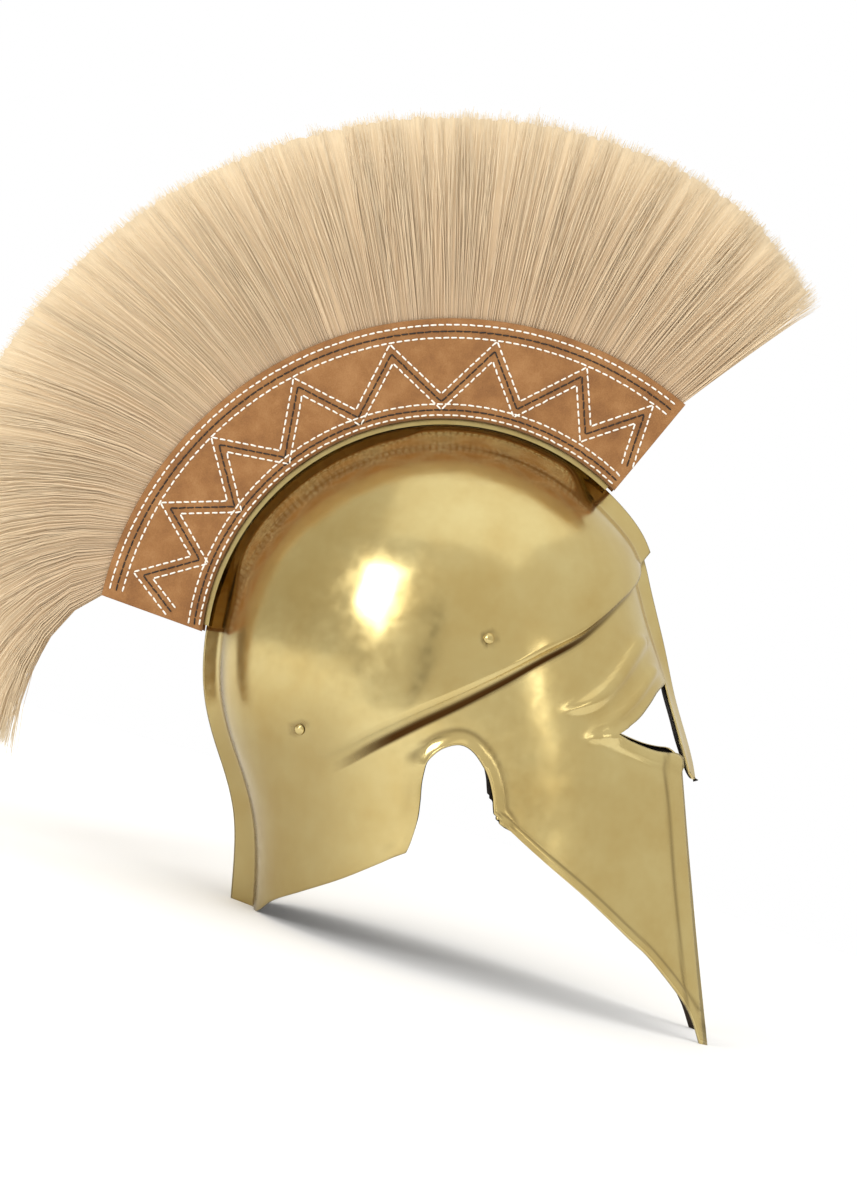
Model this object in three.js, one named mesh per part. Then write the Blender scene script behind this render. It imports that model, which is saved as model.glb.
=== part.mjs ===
// Corinthian helmet of polished brass with a crest of horsehair in an embroidered suede holder.
// It rests by itself on the rim of its nape and on the points of its two cheek plates.
//
// Millimetres, +Z up. The helmet is drawn as it is worn, in three directions: right (towards the
// wearer's right, -X), forward (where the wearer looks, -Y) and up (+Z). The group at the end tips
// it back until the nape and the cheek points stand on one level plane.

import * as THREE from 'three';

// ---------------------------------------------------------------- driving dimensions

const WALL = 1.5;                  // thickness of the brass sheet
const GAP = 0.3;                   // clearance between neighbouring pieces

const RIDGE_HALF_WIDTH = 10;       // the medial ridge rises from the dome within this of the midline
const GROOVE = { depth: 1.2, offset: 14, width: 4.5 };     // hollow beside the ridge on the nape

// Points on which the helmet rests, seen from the side.
const REST_REAR = { forward: -102.7, up: -141.9 };
const REST_FRONT = { forward: 156, up: -218.6 };
const FILED = 0.8;                 // rims nearer than this to the resting plane are filed flat on it

// Level sections of the shell, from the crown down. Each is an oval that is widest at `widest`,
// reaches `rear` behind and `front` ahead of it, and is `side` wide to either side. The ridge
// stands out from it by `rearRidge` and `frontRidge`.
const LEVELS = [
  { up: 130, widest: 6.6, rear: 0, front: 0, side: 0, rearRidge: 9, frontRidge: 9 },
  { up: 126.5, widest: 6.6, rear: 28, front: 28, side: 22, rearRidge: 9, frontRidge: 9 },
  { up: 117, widest: 6.6, rear: 55, front: 55, side: 43, rearRidge: 9, frontRidge: 9 },
  { up: 101, widest: 6.6, rear: 81, front: 80, side: 63, rearRidge: 9, frontRidge: 9.5 },
  { up: 80, widest: 6.6, rear: 102, front: 97.5, side: 79, rearRidge: 9, frontRidge: 9.5 },
  { up: 60, widest: 6, rear: 114, front: 110.5, side: 88, rearRidge: 9, frontRidge: 7.5 },
  { up: 41, widest: 5, rear: 121, front: 115.5, side: 93, rearRidge: 9, frontRidge: 7 },
  { up: 21, widest: 4, rear: 125.5, front: 121.5, side: 96, rearRidge: 8.5, frontRidge: 7 },
  { up: 0, widest: 3, rear: 127, front: 129.5, side: 97, rearRidge: 8.5, frontRidge: 5 },
  { up: -21, widest: 2, rear: 125.5, front: 136.9, side: 96.5, rearRidge: 8.5, frontRidge: 2.3 },
  { up: -42, widest: 1, rear: 119.5, front: 144.2, side: 95, rearRidge: 8.5, frontRidge: 2.3 },
  { up: -63, widest: 0, rear: 110.5, front: 151.2, side: 93.5, rearRidge: 9, frontRidge: 2.3 },
  { up: -85, widest: 0, rear: 104, front: 152, side: 92, rearRidge: 10, frontRidge: 3 },
  { up: -108, widest: 0, rear: 102, front: 153.5, side: 90.5, rearRidge: 11.5, frontRidge: 3 },
  { up: -132, widest: 0, rear: 103, front: 157.5, side: 89, rearRidge: 12.5, frontRidge: 3 },
  { up: -158, widest: 0, rear: 105, front: 161.5, side: 87, rearRidge: 12.5, frontRidge: 3 },
  { up: -190, widest: 0, rear: 106, front: 166, side: 85, rearRidge: 12.5, frontRidge: 3 },
  { up: -225, widest: 0, rear: 106, front: 170, side: 83, rearRidge: 12.5, frontRidge: 3 },
  { up: -262, widest: 0, rear: 106, front: 173, side: 81, rearRidge: 12.5, frontRidge: 3 },
  { up: -300, widest: 0, rear: 106, front: 176, side: 79, rearRidge: 12.5, frontRidge: 3 },
];

// Free edges of one side of the shell, seen from the side: [forward, up].
const EDGES = {
  nape: [
    [-102.7, -141.9], [-100.7, -142.4], [-98.1, -141.4], [-90.5, -135], [-73, -128], [-50.4, -120],
    [-28, -110.5], [-14.2, -104],
  ],
  earRear: [[-3.2, -56], [-5.2, -65], [-6.2, -76], [-7.7, -86], [-11.8, -99], [-14.2, -104]],
  earTop: [[-3.2, -56], [-0.7, -51.5], [5.4, -46.5], [13.4, -44], [19.4, -45], [24.8, -49.5], [29.8, -57.5]],
  earFront: [[29.8, -57.5], [32.3, -64], [34.2, -73], [35.2, -83], [38.7, -88]],
  cheekBottom: [
    [38.7, -88], [61.3, -109], [87.3, -132], [111.3, -155.5], [123.5, -167.5], [141, -190],
    [148.7, -204], [152.6, -217.8],
  ],
  cheekFront: [[141.4, -55.5], [143.5, -80], [147.3, -125], [151.4, -170], [156.5, -219.1]],
  eyeLower: [
    [103.6, -40.3], [108.4, -42.8], [117.3, -47], [126.2, -50.4], [133.9, -52], [138.3, -52.6],
    [141.4, -55.5],
  ],
  eyeUpper: [[103.6, -40.3], [111.7, -36.2], [118.1, -31.4], [124.5, -24], [129.6, -17.4], [135.4, -13]],
  nasalSide: [[135.4, -13], [136.9, -20], [141, -34.6], [144, -46], [148, -59], [149.9, -65]],
  nasalTip: [[149.9, -65], [151.1, -69.3], [152.6, -71.8]],
};

// Carination: the lower edge of the dome, which overhangs the brow and the cheeks.
const CARINATION = {
  depth: 4.8,                      // how far the dome stands out over the brow
  lean: 0.88,                      // distance from its line for a millimetre of height
  rearWidth: 9.5,                  // height of the face beneath its edge behind the ear
  frontWidth: 2.6,                 // the same at the brow
  narrowFrom: -50,                 // it narrows from here
  narrowTo: 118,                   // to here
  reach: 40,                       // the dome swells outwards within about this of its edge
  startForward: -70,               // it rises out of the nape from here
  fullForward: -30,                // to full depth here
  fadeUp: 62,                      // the swelling fades above this height
  plainUp: 112,                    // and is gone here
  rearUp: -80,                     // height of its line on the rear midline
  frontUp: 58,                     // and on the brow
  line: [
    [-98, -68], [-55, -49.5], [-28, -35.6], [-5.6, -25], [16.4, -15.2], [38.4, -4.8], [61, 6.7],
    [82.7, 17.4], [93.2, 25], [104.4, 34.5], [113.3, 43],
  ],
};

// Ridges raised on the brow and round the eye: [forward, up] along the crest of each.
const BROWS = [
  {
    line: [[70, -27], [83.6, -24], [94.2, -19], [103.7, -10], [113, 2.5], [118.4, 10]],
    halfWidth: 7, height: 2.6,
  },
  {
    line: [[84.6, -38.5], [96.2, -34.5], [106.8, -28.5], [117.3, -18], [126.7, -6]],
    halfWidth: 4.5, height: 1.6,
  },
];
const EYE_POINT = { line: [[83.7, -41], [94.4, -41.3], [105.5, -40.6]], halfWidth: 5, height: 1.5 };
const LID = { width: 8, height: 1.5 };             // raised border below the eye
const EAR_FLARE = { width: 7.5, height: 3 };       // the edge of the ear cut-out turns outwards
const FLANGE = { width: 9, height: 1.8 };          // the cheek's front border is bent outwards
const RIM = { width: 3.4, slope: 1.4, height: 0.9 };       // flat bead along the cheek's lower edge

// Number of divisions of the shell's patches.
const ROWS = { dome: 10, carination: 2, brow: 5, nape: 5, cheek: 12, nasal: 5 };
const COLUMNS = { nape: 9, ear: 5, temple: 6, upperEye: 5, lowerEye: 4, nasal: 3 };

// Row of the patches that runs from the nape over the ear and the eye to the root of the nasal.
const MIDDLE_ROW = {
  rearUp: -104,
  temple: [[29.8, -57.5], [56, -56], [81.5, -49], [103.6, -40.3]],
  frontUp: -9,
};

// Rivets on either side: domed heads. The profile is in shares of the radius and the height.
const RIVET = {
  radius: 3.1,
  height: 1.7,
  profile: [[0, 0], [1, 0], [0.95, 0.3], [0.72, 0.72], [0.38, 0.95], [0, 1]],
  segments: 16,
  clearance: 0.45,
};
const RIVETS = { front: [31.3, 13.5], rear: [-72.6, -37] };

// Crest holder, seen from the side: a curved box between two arcs.
const HOLDER = {
  inner: { forward: 6.6, up: 0, radius: 139.3, rear: 173.1, front: 44.6 },     // degrees above forward
  outer: { forward: 12, up: -10, radius: 207, rear: 166.7, front: 49.4 },
  halfWidth: 14.5,
  leather: 2,
  roll: 2.8,                       // the suede is rolled under within this of the inner edge
  segments: 44,
};
// Brass strip between the ridge and the core, in millimetres out from the inner arc.
const RAIL = { halfWidth: 3, ridge: -1.15, lower: -2.8, upper: 2.4 };
// Wooden core. Its outer face lies `inset` below the suede's outer edge.
const CORE = { lower: 2.7, inset: 4 };
const END_STRIP = 2;               // suede over either end of the core

// Hair of the plume. Along the holder from its rear end (along 0) to its front end (along 1) the hair
// leaves at `leaves` degrees above forward, settles at `settles`, and is `length` long. The plume is
// `spread` to either side at its tips.
const PLUME = [
  { along: 0, leaves: 200, settles: 258, length: 112, spread: 17 },
  { along: 0.05, leaves: 181, settles: 224, length: 117, spread: 21 },
  { along: 0.1, leaves: 168, settles: 200, length: 118, spread: 23 },
  { along: 0.2, leaves: 150, settles: 169, length: 118, spread: 25 },
  { along: 0.35, leaves: 129, settles: 138, length: 119, spread: 26 },
  { along: 0.5, leaves: 108.5, settles: 113, length: 119, spread: 26 },
  { along: 0.65, leaves: 89, settles: 90, length: 119, spread: 26 },
  { along: 0.8, leaves: 69, settles: 66, length: 118, spread: 26 },
  { along: 0.9, leaves: 54, settles: 50, length: 114, spread: 25 },
  { along: 1, leaves: 37, settles: 40, length: 98, spread: 20 },
];
const LOCKS = { count: 42, segments: 5, bulge: 1.6, ragged: 4 };

// ---------------------------------------------------------------- helpers

const mix = (a, b, t) => a + (b - a) * t;

const smooth = (from, to, value) => {
  const t = Math.min(1, Math.max(0, (value - from) / (to - from)));
  return t * t * (3 - 2 * t);
};

// Finds where a rising function reaches a value.
function solve(rising, value, low, high) {
  for (let step = 0; step < 50; step += 1) {
    const middle = (low + high) / 2;
    if (rising(middle) < value) low = middle;
    else high = middle;
  }
  return (low + high) / 2;
}

// `count` + 1 values evenly spaced from one to another.
const steps = (count, from = 0, to = 1) => {
  return Array.from({ length: count + 1 }, (_, k) => mix(from, to, k / count));
};

const spline = (points) => new THREE.SplineCurve(points.map(([a, b]) => new THREE.Vector2(a, b)));

// Value at x of a smooth curve through [x, y] points whose x rises.
function through(points, x) {
  const last = points.length - 1;
  let k = 0;
  while (k < last - 1 && x > points[k + 1][0]) k += 1;
  const slope = (i) => {
    const [before, after] = [points[Math.max(0, i - 1)], points[Math.min(last, i + 1)]];
    return (after[1] - before[1]) / (after[0] - before[0]);
  };
  const span = points[k + 1][0] - points[k][0];
  const t = (x - points[k][0]) / span;
  const rise = 3 * t * t - 2 * t * t * t;
  const start = t * (1 - t) * (1 - t) * slope(k) * span;
  const end = t * t * (t - 1) * slope(k + 1) * span;
  return mix(points[k][1], points[k + 1][1], rise) + start + end;
}

// Values of a table at x, where the column `key` rises.
function tableAt(table, key, x) {
  const values = {};
  for (const column of Object.keys(table[0])) {
    values[column] = through(table.map((row) => [row[key], row[column]]), x);
  }
  return values;
}

// Distance from a point to a curve seen from the side, and how far along the curve it lies.
function nearest(curve, forward, up) {
  const found = { distance: Infinity, along: 0 };
  const count = curve.samples.length - 1;
  for (let k = 0; k < count; k += 1) {
    const [a, b] = [curve.samples[k], curve.samples[k + 1]];
    const [du, dv] = [b.x - a.x, b.y - a.y];
    const t = Math.min(1, Math.max(0, ((forward - a.x) * du + (up - a.y) * dv) / (du * du + dv * dv)));
    const distance = Math.hypot(forward - a.x - t * du, up - a.y - t * dv);
    if (distance < found.distance) Object.assign(found, { distance, along: (k + t) / count });
  }
  return found;
}

// ---------------------------------------------------------------- surface of the shell

// Section at a depth counted in rows of LEVELS, as an even blend of the four rows around it.
function levelAt(depth) {
  const k = Math.floor(depth);
  const t = depth - k;
  const weights = [(1 - t) ** 3, 3 * t ** 3 - 6 * t * t + 4, -3 * t ** 3 + 3 * t * t + 3 * t + 1, t ** 3];
  const level = {};
  for (const column of Object.keys(LEVELS[0])) {
    const values = [k - 1, k, k + 1, k + 2].map((row) => {
      const overCrown = row < 0 && ['rear', 'front', 'side'].includes(column);
      return LEVELS[Math.abs(row)][column] * (overCrown ? -1 : 1);
    });
    level[column] = values.reduce((sum, value, i) => sum + value * weights[i], 0) / 6;
  }
  return level;
}

// Point of the plain section, at an angle round it from the rear midline to the front midline.
function plainPoint(around, depth) {
  const level = levelAt(depth);
  const c = Math.cos(around);
  const reach = mix(level.front, level.rear, (1 + c) / 2);
  return { right: level.side * Math.sin(around), forward: level.widest - c * reach, up: level.up };
}

const depthAt = (up) => solve((depth) => -levelAt(depth).up, -up, 0, LEVELS.length - 3);
const aroundAt = (forward, depth) => {
  return solve((around) => plainPoint(around, depth).forward, forward, 0, Math.PI);
};

// A place on the shell is a pair [around, depth].
function placeAt([forward, up]) {
  const depth = depthAt(up);
  return [aroundAt(forward, depth), depth];
}

const CARINATION_LINE = [
  [0, CARINATION.rearUp],
  ...CARINATION.line.map((point) => [placeAt(point)[0], point[1]]),
  [Math.PI, CARINATION.frontUp],
];
const carinationUp = (around) => through(CARINATION_LINE, around);
const carinationWidth = (forward) => {
  const { rearWidth, frontWidth, narrowFrom, narrowTo } = CARINATION;
  const t = THREE.MathUtils.clamp((forward - narrowFrom) / (narrowTo - narrowFrom), 0, 1);
  return mix(rearWidth, frontWidth, t ** 1.6);
};

const sampled = (points) => ({ samples: spline(points).getSpacedPoints(24) });
const BANDS = [...BROWS, EYE_POINT].map((band) => ({ ...band, ...sampled(band.line) }));
const EAR = sampled([...EDGES.earRear].reverse().concat(EDGES.earTop.slice(1), EDGES.earFront.slice(1)));
const CHEEK_FRONT = sampled(EDGES.cheekFront);
const CHEEK_BOTTOM = sampled(EDGES.cheekBottom);
const EYE_LOWER = sampled(EDGES.eyeLower);

// How far the shell stands out from the plain section at a place. The nasal hangs in front of the
// cheeks, so it takes no relief from their edges.
function relief(around, depth, onNasal) {
  const level = levelAt(depth);
  const { right, forward, up } = plainPoint(around, depth);
  const rearward = (1 + Math.cos(around)) / 2;

  const ridge = mix(level.frontRidge, level.rearRidge, smooth(0.3, 0.7, rearward));
  let out = ridge * Math.max(0, 1 - right / RIDGE_HALF_WIDTH) ** 1.5;
  const fromGroove = (right - GROOVE.offset) / GROOVE.width;
  out -= GROOVE.depth * smooth(0.75, 0.9, rearward) * Math.exp(-fromGroove * fromGroove);

  const above = (up - carinationUp(around)) * CARINATION.lean;
  const rising = smooth(CARINATION.startForward, CARINATION.fullForward, forward);
  const overhang = CARINATION.depth * rising * (1 - smooth(CARINATION.fadeUp, CARINATION.plainUp, up));
  if (above > 0) out += overhang / (1 + (above / CARINATION.reach) ** 2);
  else out += overhang * Math.max(0, 1 + above / carinationWidth(forward)) ** 2;
  if (onNasal) return out;

  for (const band of BANDS) {
    const { distance, along } = nearest(band, forward, up);
    const across = distance / (band.halfWidth * smooth(-0.3, 0.45, along));
    out += band.height * smooth(0, 0.35, along) * Math.max(0, 1 - across * across) ** 2;
  }
  const lid = nearest(EYE_LOWER, forward, up).distance / LID.width;
  out += LID.height * (1 - smooth(0.7, 1, lid));
  const ear = nearest(EAR, forward, up).distance / EAR_FLARE.width;
  out += EAR_FLARE.height * Math.max(0, 1 - ear) ** 2;
  const flange = nearest(CHEEK_FRONT, forward, up).distance / FLANGE.width;
  const rim = nearest(CHEEK_BOTTOM, forward, up).distance;
  const bead = RIM.height * (1 - smooth(RIM.width, RIM.width + RIM.slope, rim));
  return out + Math.max(bead, FLANGE.height * Math.max(0, 1 - flange));
}

// From right, forward and up to the object's axes.
const toAxes = (right, forward, up) => new THREE.Vector3(-right, -forward, up);

// Point of the finished outer surface of the right half.
function surfacePoint([around, depth], onNasal = false) {
  const at = (a, d) => {
    const { right, forward, up } = plainPoint(a, d);
    return toAxes(right, forward, up);
  };
  const step = 0.01;
  const [a, d] = [around, Math.max(depth, step)];
  const alongRow = at(a + step, d).sub(at(a - step, d));
  const downColumn = at(a, d + step).sub(at(a, d - step));
  const out = downColumn.cross(alongRow).normalize();
  return at(around, depth).addScaledVector(out, relief(around, depth, onNasal));
}

// ---------------------------------------------------------------- patches of the shell

// `count` + 1 places evenly spaced along a free edge.
function edgePlaces(points, count) {
  const curve = spline(points);
  return steps(count).map((share) => placeAt(curve.getPointAt(share).toArray()));
}

// Places from one to another, spaced by `easing` of a share from 0 to 1.
function between([a0, d0], [a1, d1], count, easing = (t) => t) {
  return steps(count).map((share) => [mix(a0, a1, easing(share)), mix(d0, d1, easing(share))]);
}

// Grid of places that blends evenly between its four borders.
function blend(top, bottom, left, right) {
  const [rows, columns] = [left.length - 1, top.length - 1];
  const value = (i, j, axis) => {
    const [u, v] = [j / columns, i / rows];
    const sides = mix(left[i][axis], right[i][axis], u) + mix(top[j][axis], bottom[j][axis], v);
    const corners = mix(
      mix(top[0][axis], top[columns][axis], u),
      mix(bottom[0][axis], bottom[columns][axis], u),
      v,
    );
    return sides - corners;
  };
  const grid = [];
  for (let i = 0; i <= rows; i += 1) {
    grid.push(Array.from({ length: columns + 1 }, (_, j) => [value(i, j, 0), value(i, j, 1)]));
  }
  return grid;
}

// Columns crowd towards the ridge, which needs the finer steps.
const fromRidge = (t) => through([[0, 0], [0.11, 0.03], [0.22, 0.068], [0.33, 0.12], [0.5, 0.26], [1, 1]], t);
const alongNape = (t) => {
  return through([[0, 0], [0.22, 0.068], [0.33, 0.11], [0.44, 0.15], [0.56, 0.28], [1, 1]], t);
};
const toRidge = (t) => through([[0, 0], [0.34, 0.36], [0.67, 0.7], [1, 1]], t);

function shellGrids() {
  const rearMiddle = [0, depthAt(MIDDLE_ROW.rearUp)];
  const frontMiddle = [Math.PI, depthAt(MIDDLE_ROW.frontUp)];
  const earTop = edgePlaces(EDGES.earTop, COLUMNS.ear);
  const temple = edgePlaces(MIDDLE_ROW.temple, COLUMNS.temple);
  const upperEye = edgePlaces(EDGES.eyeUpper, COLUMNS.upperEye);
  const lowerEye = edgePlaces(EDGES.eyeLower, COLUMNS.lowerEye);
  const napeTop = between(rearMiddle, earTop[0], COLUMNS.nape, fromRidge);
  const nasalTop = between(upperEye[COLUMNS.upperEye], frontMiddle, COLUMNS.nasal, toRidge);
  const parts = [napeTop, earTop, temple, upperEye, nasalTop];
  const middle = parts.flatMap((places, k) => (k === 0 ? places : places.slice(1)));

  // Above the middle row every column keeps its angle from the crown down.
  const column = ([around, depth]) => {
    const edge = carinationUp(around);
    const { forward } = plainPoint(around, depthAt(edge));
    const foot = edge - carinationWidth(forward) / CARINATION.lean;
    const [edgeDepth, footDepth] = [depthAt(edge), depthAt(foot)];
    return [
      ...between([around, 0], [around, edgeDepth], ROWS.dome),
      ...between([around, edgeDepth], [around, footDepth], ROWS.carination).slice(1),
      ...between([around, footDepth], [around, depth], ROWS.brow).slice(1),
    ];
  };
  const columns = middle.map(column);
  const upper = columns[0].map((_, row) => columns.map((places) => places[row]));

  const napePlaces = EDGES.nape.map(placeAt);
  napePlaces[0][0] = 0;
  const napeEnd = napePlaces[napePlaces.length - 1][0];
  const napeEdge = steps(COLUMNS.nape).map((share) => {
    const around = napeEnd * alongNape(share);
    return [around, through(napePlaces, around)];
  });
  const rearMidline = between(rearMiddle, napeEdge[0], ROWS.nape);
  const nape = blend(napeTop, napeEdge, rearMidline, edgePlaces(EDGES.earRear, ROWS.nape));

  const cheekTop = [...temple, ...lowerEye.slice(1)];
  const cheekFront = edgePlaces(EDGES.cheekFront, ROWS.cheek);
  const cheekEdge = [...edgePlaces(EDGES.cheekBottom, cheekTop.length - 2), cheekFront[ROWS.cheek]];
  const cheek = blend(cheekTop, cheekEdge, edgePlaces(EDGES.earFront, ROWS.cheek), cheekFront);

  const nasalEdge = edgePlaces(EDGES.nasalTip, COLUMNS.nasal);
  nasalEdge[COLUMNS.nasal][0] = Math.PI;
  const frontMidline = between(frontMiddle, nasalEdge[COLUMNS.nasal], ROWS.nasal);
  const nasal = blend(nasalTop, nasalEdge, edgePlaces(EDGES.nasalSide, ROWS.nasal), frontMidline);
  return [{ grid: upper }, { grid: nape }, { grid: cheek }, { grid: nasal, onNasal: true }];
}

// ---------------------------------------------------------------- meshes

// Collects the corners and faces of a mesh, and gives one number to corners in one place.
class Sheet {
  constructor() {
    this.points = [];
    this.faces = [];
    this.numbers = new Map();
  }

  corner(point) {
    const name = point.toArray().map((c) => Math.round(c * 500)).join();
    if (!this.numbers.has(name)) {
      this.numbers.set(name, this.points.length);
      this.points.push(point.clone());
    }
    return this.numbers.get(name);
  }

  // A face with three or more different corners.
  face(points) {
    const corners = points.map((point) => this.corner(point));
    const kept = corners.filter((corner, k) => corner !== corners[(k + 1) % corners.length]);
    if (kept.length > 2) this.faces.push(kept);
  }

  // Quads over a grid of points, facing away from the side on which rows turn into columns.
  quads(grid, turned = false) {
    for (let i = 0; i + 1 < grid.length; i += 1) {
      for (let j = 0; j + 1 < grid[i].length; j += 1) {
        const quad = [grid[i][j], grid[i + 1][j], grid[i + 1][j + 1], grid[i][j + 1]];
        this.face(turned ? quad.reverse() : quad);
      }
    }
  }

  // Triangles, with each quad cut along its shorter diagonal.
  triangles() {
    return this.faces.flatMap(([a, b, c, d]) => {
      if (d === undefined) return [[a, b, c]];
      const length = (i, j) => this.points[i].distanceTo(this.points[j]);
      return length(a, c) < length(b, d) ? [[a, b, c], [a, c, d]] : [[a, b, d], [b, c, d]];
    });
  }

  normals() {
    const normals = this.points.map(() => new THREE.Vector3());
    for (const face of this.triangles()) {
      const [a, b, c] = face.map((corner) => this.points[corner]);
      const area = b.clone().sub(a).cross(c.clone().sub(a));
      for (const corner of face) normals[corner].add(area);
    }
    return normals.map((normal) => normal.normalize());
  }
}

function geometry(points, triangles) {
  const result = new THREE.BufferGeometry();
  result.setAttribute('position', new THREE.Float32BufferAttribute(points.flatMap((p) => p.toArray()), 3));
  result.setIndex(triangles.flat());
  result.computeVertexNormals();
  return result;
}

// Closed wall behind an open sheet. `finish` gives the last touch to every point.
function wall(sheet, thickness, finish) {
  const count = sheet.points.length;
  const normals = sheet.normals();
  const inner = sheet.points.map((point, k) => point.clone().addScaledVector(normals[k], -thickness));
  const outerFaces = sheet.triangles();
  const innerFaces = outerFaces.map(([a, b, c]) => [a + count, c + count, b + count]);
  const sides = (face) => face.map((corner, k) => `${corner},${face[(k + 1) % face.length]}`);
  const edges = new Set(sheet.faces.flatMap(sides));
  const rim = [];
  for (const edge of edges) {
    const [a, b] = edge.split(',').map(Number);
    if (!edges.has(`${b},${a}`)) rim.push([b, a, a + count], [b, a + count, b + count]);
  }
  return geometry([...sheet.points, ...inner].map(finish), [...outerFaces, ...innerFaces, ...rim]);
}

// Sheet swept through rings of points, each in the same order and clockwise when seen from the first.
function sweep(rings) {
  const sheet = new Sheet();
  sheet.quads(rings.map((ring) => [...ring, ring[0]]), true);
  return sheet;
}

// The same as a closed body. Each ring is an even number of points, folded over to close the ends.
function sweptBody(rings) {
  const sheet = sweep(rings);
  const size = rings[0].length;
  for (const [ring, first] of [[rings[0], true], [rings[rings.length - 1], false]]) {
    for (let k = 0; k < size / 2 - 1; k += 1) {
      const quad = [ring[k], ring[k + 1], ring[size - 2 - k], ring[size - 1 - k]];
      sheet.face(first ? quad.reverse() : quad);
    }
  }
  return geometry(sheet.points, sheet.triangles());
}

// ---------------------------------------------------------------- helmet

// Rims that reach the resting plane are filed flat on it.
function fileFlat(point) {
  const slope = (REST_FRONT.up - REST_REAR.up) / (REST_FRONT.forward - REST_REAR.forward);
  const plane = REST_REAR.up + slope * (-point.y - REST_REAR.forward);
  if (point.z < plane + FILED) point.z = plane;
  return point;
}

function helmetShell() {
  const sheet = new Sheet();
  for (const { grid, onNasal } of shellGrids()) {
    const right = grid.map((row) => row.map((place) => surfacePoint(place, onNasal)));
    const left = right.map((row) => row.map(({ x, y, z }) => new THREE.Vector3(-x, y, z)));
    sheet.quads(right);
    sheet.quads(left, true);
  }
  return wall(sheet, WALL, fileFlat);
}

// A rivet's domed head, which stands on the shell and faces straight out of it.
function rivet([forward, up], side) {
  const [around, depth] = placeAt([forward, up]);
  const point = surfacePoint([around, depth]);
  const alongRow = surfacePoint([around + 0.02, depth]).sub(point);
  const downColumn = surfacePoint([around, depth + 0.05]).sub(point);
  const out = downColumn.cross(alongRow).normalize();
  const foot = point.addScaledVector(out, RIVET.clearance);
  if (side === 'left') {
    foot.x *= -1;
    out.x *= -1;
  }
  const across = new THREE.Vector3(0, 0, 1).cross(out).normalize();
  const rings = RIVET.profile.map(([r, h]) => steps(RIVET.segments).map((turn) => {
    const arm = across.clone().applyAxisAngle(out, 2 * Math.PI * turn).multiplyScalar(r * RIVET.radius);
    return foot.clone().addScaledVector(out, h * RIVET.height).add(arm);
  }));
  const sheet = new Sheet();
  sheet.quads(rings, true);
  return geometry(sheet.points, sheet.triangles());
}

// ---------------------------------------------------------------- crest

function onArc(arc, along, radius = arc.radius) {
  const angle = THREE.MathUtils.degToRad(mix(arc.rear, arc.front, along));
  return new THREE.Vector2(arc.forward + radius * Math.cos(angle), arc.up + radius * Math.sin(angle));
}

// Place in the crest: `along` it from rear to front, `out` millimetres from its inner edge.
function crestPoint(along, out, right) {
  const inner = onArc(HOLDER.inner, along);
  const outward = onArc(HOLDER.outer, along).sub(inner).normalize();
  return toAxes(right, inner.x + outward.x * out, inner.y + outward.y * out);
}

const crestHeight = (along) => onArc(HOLDER.outer, along).distanceTo(onArc(HOLDER.inner, along));

// One suede side, rolled under at its inner edge. `side` is 1 on the right and -1 on the left.
function crestPanel(side) {
  const { halfWidth, leather, roll } = HOLDER;
  const ring = (along) => {
    const height = crestHeight(along);
    const outline = [
      [halfWidth, height], [halfWidth, roll], [halfWidth - 0.5, 1.4], [halfWidth - 1.6, 0.4],
      [halfWidth - 3, 0], [halfWidth - 3, leather], [halfWidth - 2.4, leather + 0.3],
      [halfWidth - leather, roll], [halfWidth - leather, roll + 1], [halfWidth - leather, height],
    ];
    const points = outline.map(([right, out]) => crestPoint(along, out, right * side));
    if (side < 0) points.reverse();
    return points;
  };
  return sweptBody(steps(HOLDER.segments).map(ring));
}

// Box that follows the crest from one share of its length to another. `lower` and `upper` are
// millimetres out from the inner arc; `upper` is worked out at each place along the crest.
function crestBar(halfWidth, lower, upper, from, to, count) {
  const ring = (along) => {
    const top = upper(along);
    const outline = [[-halfWidth, top], [halfWidth, top], [halfWidth, lower], [-halfWidth, lower]];
    return outline.map(([right, out]) => crestPoint(along, out, right));
  };
  return sweptBody(steps(count, from, to).map(ring));
}

// The rail under the core. Its underside is hollowed to sit astride the dome's middle ridge.
function crestRail(from, to) {
  const { halfWidth, ridge, lower, upper } = RAIL;
  const outline = [
    [-halfWidth, upper], [0, upper], [halfWidth, upper], [halfWidth, lower], [0, ridge],
    [-halfWidth, lower],
  ];
  const ring = (along) => outline.map(([right, out]) => crestPoint(along, out, right));
  return sweptBody(steps(HOLDER.segments, from, to).map(ring));
}

// ---------------------------------------------------------------- plume

// Course of the hair that leaves the holder at `along`: points seen from the side, root to tip.
function hair(along, count, longer) {
  const row = tableAt(PLUME, 'along', along);
  const points = [onArc(HOLDER.outer, along, HOLDER.outer.radius - CORE.inset + GAP)];
  points.push(onArc(HOLDER.outer, along));
  const stride = (row.length + longer) / count;
  for (let k = 0; k < count; k += 1) {
    const turned = 1 - (1 - (k + 0.5) / count) ** 2;
    const angle = THREE.MathUtils.degToRad(mix(row.leaves, row.settles, turned));
    const last = points[points.length - 1];
    points.push(new THREE.Vector2(last.x + stride * Math.cos(angle), last.y + stride * Math.sin(angle)));
  }
  return { points, spread: row.spread };
}

// Outline of the brush across the hair that leaves at `along`: up its left side and down its right.
// `crown` is 1 on the crown of a lock and 0 between two locks.
function plumeRing(along, crown, longer) {
  const root = HOLDER.halfWidth - HOLDER.leather - 1.2 * GAP;
  const { points, spread } = hair(along, LOCKS.segments, longer);
  const sides = points.map((point, i) => {
    const grown = Math.max(0, i - 1) / LOCKS.segments;
    const bulge = LOCKS.bulge * crown * Math.min(1, 2 * grown);
    return { point, width: mix(root, spread, grown ** 0.8) + bulge };
  });
  const [before, last] = points.slice(-2);
  const tip = before.clone().lerp(last, 1.12);
  const left = sides.map(({ point, width }) => toAxes(-width, point.x, point.y));
  const right = sides.map(({ point, width }) => toAxes(width, point.x, point.y));
  return [...left, toAxes(0, tip.x, tip.y), ...right.reverse()];
}

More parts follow.
